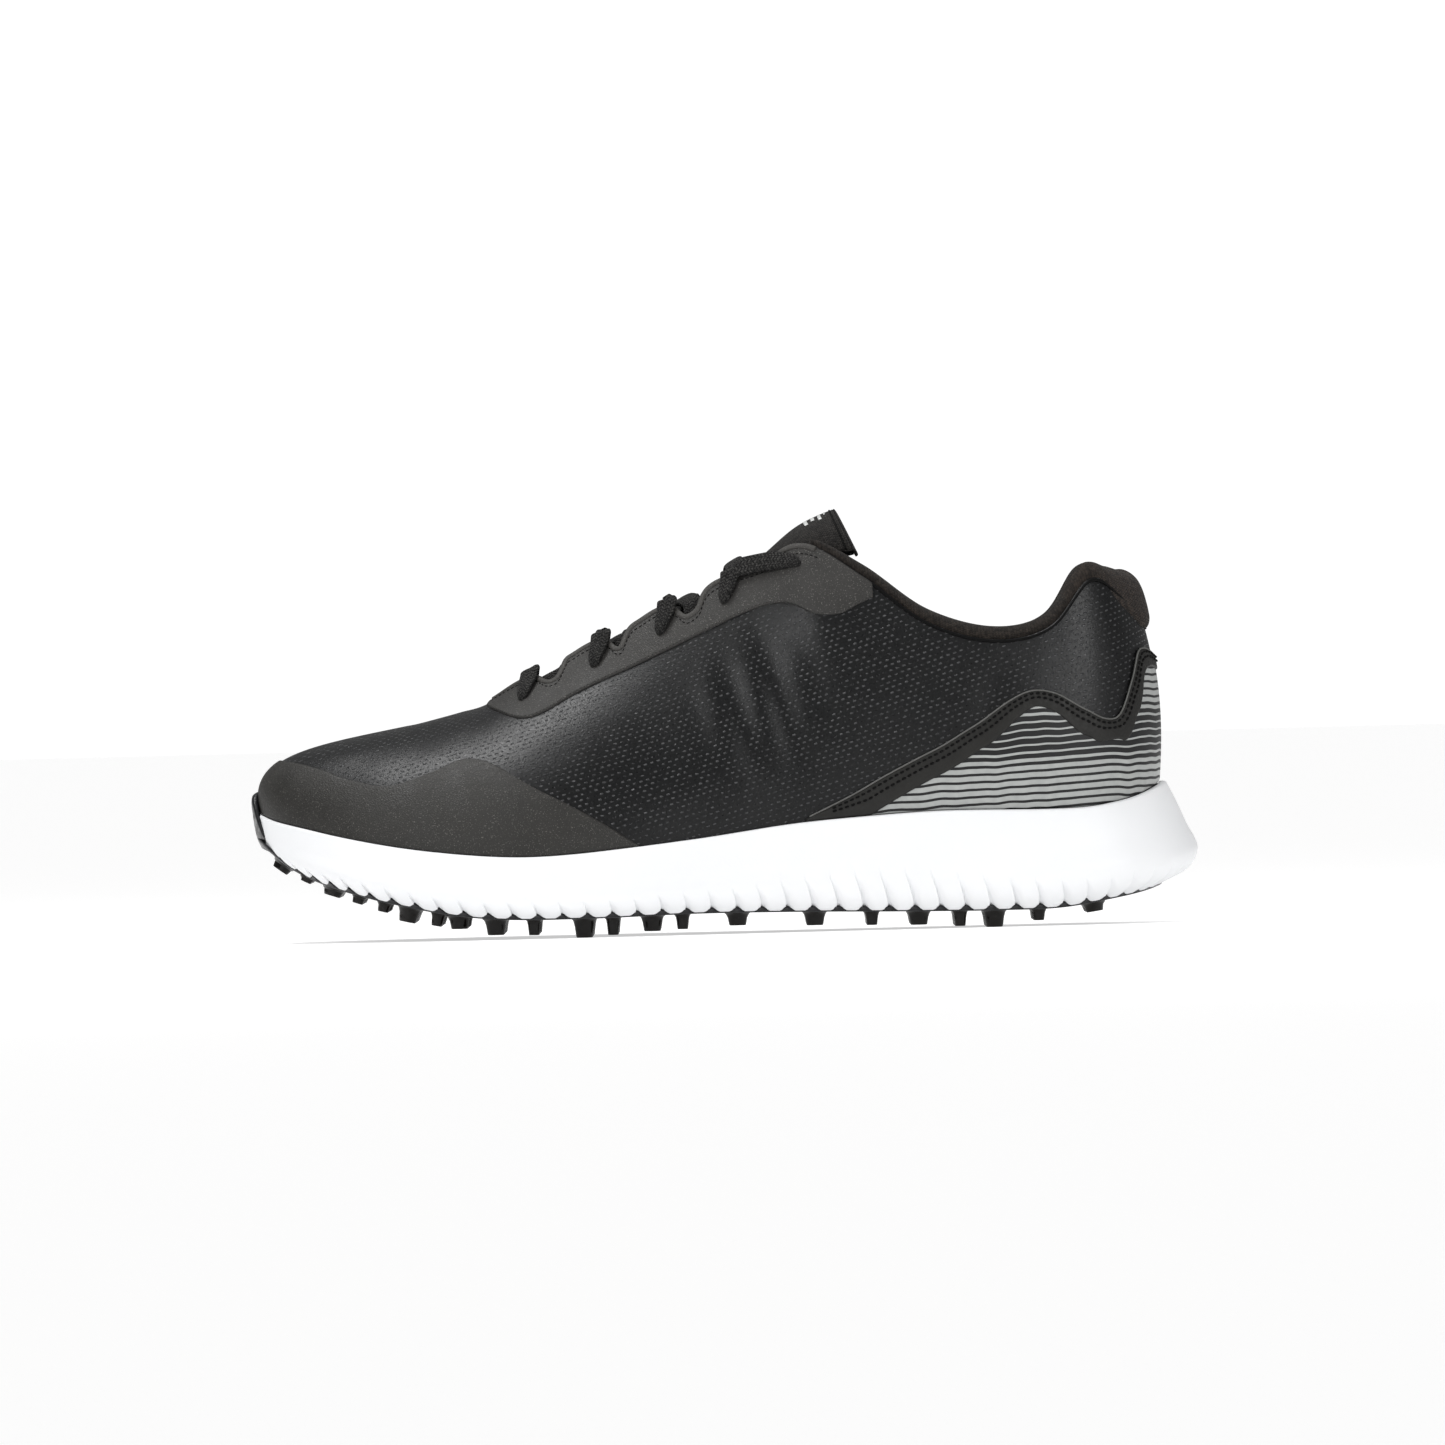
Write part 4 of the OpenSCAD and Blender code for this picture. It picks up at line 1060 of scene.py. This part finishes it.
def flat_map():
    """The upper laid flat: a coarse grid of the wall is unwrapped, and its UVs, in millimetres with
    the vamp's ridge along U, are looked up by station and v."""
    us, vs = np.linspace(-HALF, HALF, 129), np.linspace(0.0, 1.0, 17)
    points = wall(us[:, None], vs[None, :])
    n, c = len(us), len(vs)
    middle = n // 2

    def index(i, j):
        return (2 * middle - i if j == c - 1 and -THROAT <= us[i] < 0 else i) * c + j

    faces = [tuple(dict.fromkeys((index(i, j), index(i + 1, j), index(i + 1, j + 1), index(i, j + 1))))
             for i in range(n - 1) for j in range(c - 1)]
    mesh = bpy.data.meshes.new("flat_map")
    mesh.from_pydata((points.reshape(-1, 3) * MM).tolist(), [], faces)
    piece = add("flat_map", mesh)
    bpy.context.view_layer.objects.active = piece
    piece.select_set(True)
    mesh.uv_layers.new(name="UVMap")
    bpy.ops.object.mode_set(mode="EDIT")
    bpy.ops.mesh.select_all(action="SELECT")
    bpy.ops.uv.unwrap(method="ANGLE_BASED", margin=0)
    bpy.ops.object.mode_set(mode="OBJECT")
    corner, flat = np.empty(len(mesh.loops), int), np.empty(len(mesh.loops) * 2)
    mesh.loops.foreach_get("vertex_index", corner)
    mesh.uv_layers[0].data.foreach_get("uv", flat)
    uv = np.zeros((n * c, 2))
    uv[corner] = flat.reshape(-1, 2)
    bpy.data.objects.remove(piece)
    bpy.data.meshes.remove(mesh)
    uv = uv.reshape(n, c, 2)
    for i in range(n):
        if -THROAT <= us[i] < 0:
            uv[i, -1] = uv[2 * middle - i, -1]
    toe, ridge = uv[middle, 4], uv[middle + 4 * THROAT, -1]
    length = np.linalg.norm(points[middle + 4 * THROAT, -1] - points[middle, 4])
    axis = (ridge - toe) / np.linalg.norm(ridge - toe)
    uv = (uv - ridge) * length / np.linalg.norm(ridge - toe)
    uv = np.stack([uv @ axis, uv @ np.array([-axis[1], axis[0]])], -1)

    def at(u, v):
        s = np.clip((np.broadcast_to(u[:, None], v.shape) + HALF) * 4, 0, n - 1 - 1e-6)
        t = np.clip(v * (c - 1), 0, c - 1 - 1e-6)
        i, j = s.astype(int), t.astype(int)
        f, g = (s - i)[..., None], (t - j)[..., None]
        return mix(mix(uv[i, j], uv[i + 1, j], f), mix(uv[i, j + 1], uv[i + 1, j + 1], f), g)
    return at


def ring_stations():
    """Stations right round from the heel by the inner side and back, closer along the throat."""
    outer = np.unique(np.concatenate([np.linspace(0, THROAT, 57), np.linspace(THROAT, 9.4, 211),
                                      np.linspace(9.4, HALF, 93)]).round(5))
    return np.concatenate([-outer[1:-1][::-1], outer])


def stay_low(u):
    """v of the eyestay's lower edge."""
    return curve(STAY_EDGE, half(u))


def band_edge(u):
    """v of the heel band's upper edge."""
    return curve(BAND_EDGE, half(u))


def band_low(u):
    """Lower edge of the heel band, which keeps its width where the edge is steep."""
    slope = (band_edge(u + 0.05) - band_edge(u - 0.05)) / 0.1 * 70 / 15
    return np.maximum(band_edge(u) - BAND_V * np.clip(np.sqrt(1 + slope**2), 1, 2.1), rim(u) + 0.004)


def make_upper():
    ring_shell("textured_panel", ring_stations(), 0.005, throat, -PANEL_T, 0, 44, "upper",
               uv_at=flat_map(), stands_for=["main_panel"], slot="textured_upper")
    toe = patch_loops(np.linspace(-TOE_FILM_END, TOE_FILM_END, 301), lambda u: rim(u) + 0.004,
                      lambda u: max(curve(TOE_EDGE, half(u)), rim(u) + 0.006), -0.3, OVERLAY_T * 0.75, 26)
    loft("toe_film", toe, "toe", stands_for=["toe_overlay"], slot="toe_overlay")
    for side, name in ((1, "outer"), (-1, "inner")):
        us = np.concatenate([np.linspace(4.12, 9.3, 231), np.linspace(9.32, 10.15, 30)])
        us = us if side > 0 else RING - us[::-1]
        stay = patch_loops(us, stay_low, lambda u: max(throat(u) - 0.004, stay_low(u) + 0.01), -0.3,
                           OVERLAY_T, 12)
        loft(f"stay_{name}", stay, "stay", stands_for=[f"eyestay_{name}"], slot="eyestay")
        make_throat_edge(name, us[(half(us) > 4.2) & (half(us) < 9.2)])
        make_stay_cut(name, us[(half(us) > 4.15) & (half(us) < 10.1)])
    heel = patch_loops(round_heel(STRIPES_START, 281), lambda u: rim(u) + 0.004,
                       lambda u: max(band_edge(u) - 0.03, rim(u) + 0.006), -0.3, OVERLAY_T * 0.8, 24)
    loft("heel_stripes", heel, "stripes", stands_for=["heel_overlay"], slot="striped_panel")
    band = patch_loops(round_heel(BAND_START, 401), band_low,
                       lambda u: max(band_edge(u), band_low(u) + 0.006), 0, OVERLAY_T + 0.4, 8)
    loft("heel_band_strip", band, "band", stands_for=["heel_band"], slot="band")
    rows = []
    for share in (0.16, 0.42):
        us = round_heel(8.5, 400)
        rows.append(wall_path(us, lambda u: mix(band_edge(u), band_low(u), share), OVERLAY_T + 0.42))
    stitches("heel_band_stitches", rows, "thread", 2.0, 1.35, 0.42, slot="band")
    path, normals = wall_path(round_heel(8.1, 500), lambda u: band_edge(u) + 0.002, OVERLAY_T)
    seam_cord("heel_band_edge", path, normals, 0.28, "edge", slot="band")


def make_stay_cut(name, us):
    """Fine stitches along the eyestay's lower edge."""
    rows = [wall_path(us, lambda u: stay_low(u) + 0.006, OVERLAY_T * 0.7)]
    stitches(f"stay_cut_{name}", rows, "thread", 1.25, 0.75, 0.2, slot="eyestay")


def make_throat_edge(name, us):
    """Bound edge of the eyestay, with a stitched line just below it."""
    path, normals = wall_path(us, lambda u: throat(u) - 0.012, OVERLAY_T - 0.1)
    loft(f"stay_binding_{name}", cord_loops(path, normals, 1.9, 1.1, 10), "stay_edge",
         slot="eyestay")
    rows = [wall_path(us, lambda u: throat(u) - 0.04, OVERLAY_T + 0.02)]
    stitches(f"stay_stitches_{name}", rows, "thread", 1.7, 1.15, 0.17, slot="eyestay")


def seam_cord(name, path, normals, radius, material, **rest):
    loft(name, cord_loops(path, normals, 2 * radius, 2 * radius, 8, 1), material, **rest)


def make_collar_seam():
    """Seam where the collar's knit meets the upper, drawn as a black cord: painted shade for the seam's
    groove.
    """
    us = round_heel(9.05, 400)
    path, normals = wall_path(us, lambda u: np.full_like(u, 0.99), 0.15)
    seam_cord("collar_seam", path, normals, 0.42, "thread", slot="collar_knit")


# ---------------------------------------------------------------- tongue and laces

def tongue_layer(name, node, a, b, across, inner, outer, material, slot, swell=0.0):
    loops = []
    js = np.sin(np.linspace(-math.pi / 2, math.pi / 2, 33))
    for t in np.linspace(a, b, 90):
        edge = np.clip((1 - np.abs(js)) / 0.06, 0, 1)**0.5
        puff = swell * (1 - js**2) * np.sin(np.clip((t - a) / (b - a), 0, 1) * math.pi)**0.5
        loops.append(np.concatenate([
            tongue_at(t, across * js, mix((inner + outer) / 2, outer, edge) + puff),
            tongue_at(t, across * js, mix((inner + outer) / 2, inner, edge))[::-1]]))
    piece = loft(name, loops, material, body=None, stands_for=[node], slot=slot)
    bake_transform(piece)


def make_tongue():
    tongue_layer("tongue_face", "tongue_shell", 0, 6, 1, -TONGUE_SHELL_T, 0, "tongue", "tongue_cloth", 0.3)
    tongue_layer("tongue_padding", "tongue_foam", 0.5, 5.9, 0.92, TONGUE_FOAM_IN, -TONGUE_SHELL_T - 0.05,
                 "padding", "padding")
    tongue_layer("tongue_back", "tongue_lining", 0.2, 6, 0.96, TONGUE_FOAM_IN - 0.85, TONGUE_FOAM_IN - 0.05,
                 "lining", "lining")
    middle = (TONGUE_FOAM_IN - 0.85) / 2
    loops = []
    for b in np.sin(np.linspace(-math.pi / 2, math.pi / 2, 60)):
        q = np.radians(np.linspace(78, -78, 13))
        outer = tongue_at(6.03 + 0.2 * np.cos(q), b, middle - middle * np.sin(q) * 1.04)
        inner = tongue_at(np.full(13, 6.01), b, middle - middle * np.sin(q) * 0.98)
        loops.append(np.concatenate([outer, inner[::-1]]))
    edge = loft("tongue_edge", loops, "tongue", body="tongue", stands_for=["tongue_binding"],
                slot="tongue_cloth")
    b = np.linspace(-0.98, 0.98, 80)
    path = tongue_at(5.86, b, 0.12)
    seam_cord("tongue_seam", path, unit(path - tongue_at(5.86, b, -5)), 0.3, "thread",
              body="tongue", slot="tongue_cloth")
    bars = []
    for a0, a1, reach in ((5.18, 5.26, 0.34), (5.34, 5.42, 0.28), (5.5, 5.58, 0.34), (5.66, 5.7, 0.2)):
        js = np.linspace(-reach, reach, 13)
        bars.append([np.concatenate([tongue_at(t, js, 0.26), tongue_at(t, js, 0.05)[::-1]])
                     for t in np.linspace(a0, a1, 4)])
    many("tongue_bars", bars, "patch", body="tongue", stands_for=["tongue_patch"], slot="patch")


def crown(x, y, up):
    """Point on the laces' way across the tongue."""
    table = np.array(TONGUE, float).T
    z, q = np.interp(x, table[0], table[1]), np.interp(x, table[0], table[2])
    return np.array([x, y, z - q + math.sqrt(q * q - y * y) + LACE_T / 2 + 1.1 + up])


def hole(s, k):
    """Station of hole k on side s: -1 outer, 1 inner."""
    return EYELETS[k][0] if s < 0 else RING - EYELETS[k][0]


def over_edge(s, k):
    """Points and normals of a lace from the throat's edge of side s down into hole k."""
    v = EYELETS[k][1]
    if k == LAST_HOLE:
        back, vs = [-1.15, -0.85, -0.5, -0.12, 0], [1.0, 0.985, 0.962, 0.937, 0.926]
    else:
        back, vs = [0.16, 0.12, 0.06, 0.02, 0], [1.0, mix(1, v, 0.35), mix(1, v, 0.7), v + 0.005, v - 0.012]
    us, vs = hole(s, k) - s * np.array(back), np.array(vs)
    ds = OVERLAY_T + np.array([1.5, 1.35, 1.15, 0.75, -0.4])
    return lift(us, vs, ds), wall_normal(us, vs)


def under_edge(u):
    """Points and normals of a lace from below the eyestay out to the throat's edge at station u."""
    v = np.array([0.93, 0.985])
    return lift(u, v, np.array([-2.3, -1.9])), wall_normal(u, v)


def tucked(s, v):
    """Point of side s where the lace's end lies inside the shoe."""
    return lift(TUCK if s < 0 else RING - TUCK, v, -LINING_IN - LINING_T - padding(TUCK, v) - 1.6)


def lace_piece(path, normals, ends):
    """Flat lace along a path, narrowed to a hole at its start (-1), its end (1) or both."""
    both = resample(np.concatenate([path, np.asarray(normals) * 20], 1), 0.7)
    p, n = both[:, :3], unit(both[:, 3:])
    run = distances(p)
    width, thick = np.full(len(p), LACE_W), np.full(len(p), LACE_T)
    for end in ends:
        away = run[-1] - run if end > 0 else run
        narrow = np.sqrt(np.clip(away / 9.5, 0, 1))
        width = np.minimum(width, mix(1.6, LACE_W, narrow))
        thick = np.maximum(thick, mix(2.2, LACE_T, smooth(away / 8)))
    return cord_loops(p, n, width, thick, 16, 0.75)


def make_laces():
    """The first lace bar lies across the front holes. From there each lace crosses: out of a hole,
    over the throat's edge and the tongue, and under the other edge. The top pair goes over both."""
    (front, front_n), (back, back_n) = over_edge(-1, 0), over_edge(1, 0)
    bridge = np.array([crown(front[0][0], y, 2.2) for y in (-4, 0, 4)])
    solids = [lace_piece(np.concatenate([front[::-1], bridge, back]),
                         np.concatenate([front_n[::-1], np.tile([-0.4, 0, 0.9], (3, 1)), back_n]), (1, -1))]
    top = LAST_HOLE - 1
    for k in range(top + 1):
        for s in (-1, 1):
            up = (0.0 if s < 0 else LACE_T + 0.2) + (1.2 if k == top else 0)
            if k:
                start, start_n = (part[::-1] for part in over_edge(s, k))
            else:
                start, start_n = under_edge(hole(s, 0) - s * 0.36)
            if k == top:
                end, end_n = over_edge(-s, k + 1)
            else:
                end, end_n = (part[::-1] for part in under_edge(hole(-s, k + 1) - s * 0.42))
            a, b = start[-1], end[0]
            shares = np.linspace(0.16, 0.86, 6)
            middle = np.array([crown(mix(a[0], b[0], t), mix(a[1], b[1], t) * 0.95, up) for t in shares])
            middle_n = unit(np.stack([np.full(6, -0.5), middle[:, 1] * 0.02, np.full(6, 0.86)], -1))
            solids.append(lace_piece(np.concatenate([start, middle, end]),
                                     np.concatenate([start_n, middle_n, end_n]),
                                     ((-1,) if k else ()) + ((1,) if k == top else ())))
    tips = []
    along = np.array([0, 0.3, 0.8, 8, 15.2, 15.8, 16.0])
    size = 2.6 * np.array([0.8, 0.95, 1, 1, 0.95, 0.8, 0.5])
    for s in (-1, 1):
        flat = np.array([0, s, 0.2])
        solids.append(cord_loops(tucked(s, np.linspace(0.85, 0.56, 8)), np.tile(flat, (8, 1)), LACE_W - 1,
                                 LACE_T - 0.4))
        a, b = tucked(s, 0.555), tucked(s, 0.4)
        tips.append(cord_loops(a + np.outer(along, unit(b - a)), np.tile(flat, (7, 1)), size, size, 20, 1))
    many("flat_laces", solids, "lace", stands_for=["shoelace"], slot="lace")
    many("lace_tips", tips, "aglet", stands_for=["aglets"], slot="aglet")


# ---------------------------------------------------------------- studio

def look_at(piece, target):
    """Turn a lamp so that it shines at the target."""
    direction = np.array(target) - np.array(piece.location)
    flat = math.hypot(direction[0], direction[1])
    piece.rotation_euler = (math.atan2(flat, -direction[2]), 0, math.atan2(-direction[0], direction[1]))


def make_camera():
    data = bpy.data.cameras.new("camera")
    data.sensor_width = 36
    distance, frame_width, near_plane = 6.0, 0.4598, -0.01
    data.lens = data.sensor_width * distance / frame_width
    camera = add("camera", data, (0.0003, near_plane - distance, 0.067))
    roll = math.radians(-1.44)
    camera.rotation_euler = (math.pi / 2, 0, 0)
    camera.rotation_euler.rotate_axis("Z", roll)
    bpy.context.scene.camera = camera


def make_light(name, place, size, power, target):
    data = bpy.data.lights.new(name, "AREA")
    data.shape = "RECTANGLE"
    data.size, data.size_y = size
    data.energy = power
    look_at(add(name, data, place), target)


def make_sun(name, place, strength, spread):
    """Broad light for the whole scene; the soft boxes alone make the highlights."""
    data = bpy.data.lights.new(name, "SUN")
    data.energy = strength
    data.angle = math.radians(spread)
    lamp = add(name, data, place)
    lamp.visible_glossy = False
    look_at(lamp, (0, 0, 0))


def make_floor():
    mesh = bpy.data.meshes.new("floor")
    reach = 60.0
    mesh.from_pydata([(-reach, -reach, 0), (reach, -reach, 0), (reach, reach, 0), (-reach, reach, 0)], [],
                     [(0, 1, 2, 3)])
    floor = add("floor", mesh)
    s = Shader("floor_paper", (0.62, 0.62, 0.62), 0.95, Specular_IOR_Level=0.1, Emission_Strength=0.55)
    s.bsdf.inputs["Emission Color"].default_value = (1, 1, 1, 1)
    mesh.materials.append(s.material)


def make_world():
    """Pale surroundings: nearly white to the camera, faint as a light."""
    world = bpy.data.worlds.new("studio")
    bpy.context.scene.world = world
    world.use_nodes = True
    nodes, links = world.node_tree.nodes, world.node_tree.links
    back = nodes["Background"]
    back.inputs["Color"].default_value = (1, 1, 1, 1)
    path = nodes.new("ShaderNodeLightPath")
    strength = nodes.new("ShaderNodeMix")
    strength.inputs["A"].default_value = 0.25
    strength.inputs["B"].default_value = 1.05
    links.new(path.outputs["Is Camera Ray"], strength.inputs["Factor"])
    links.new(strength.outputs["Result"], back.inputs["Strength"])


def make_lights():
    make_sun("front_sun", (-0.5, -1.2, 1.6), 0.75, 40)
    make_sun("back_sun", (0.5, 1.2, 1.6), 1.0, 60)
    make_light("top_box", (-0.34, 0.02, 1.0), (0.45, 0.3), 5.5, (-0.08, 0, 0.06))
    make_light("left_box", (-0.62, -0.85, 0.6), (0.25, 0.4), 3.4, (0.02, 0, 0.08))
    make_light("right_box", (0.8, -0.9, 0.5), (0.3, 0.4), 4.6, (0.11, 0, 0.09))
    bpy.context.scene.view_settings.view_transform = "Standard"


make_camera()
make_floor()
make_world()
make_lights()
make_midsole()
make_plate()
make_bumper()
make_lugs("forefoot_lug_set", "forefoot_lugs", FOREFOOT, LUG_R, 4)
make_lugs("arch_lug_set", "arch_lugs", ARCH, LUG_R, 4)
make_lugs("heel_lug_set", "heel_lugs", HEEL, LUG_R, 4)
make_lugs("small_lug_set", "small_lugs", [[x, SMALL_SHARES] for x in SMALL], SMALL_LUG_R, 3)
make_footbed()
make_inside()
make_upper()
make_collar()
make_collar_seam()
make_tongue()
make_laces()
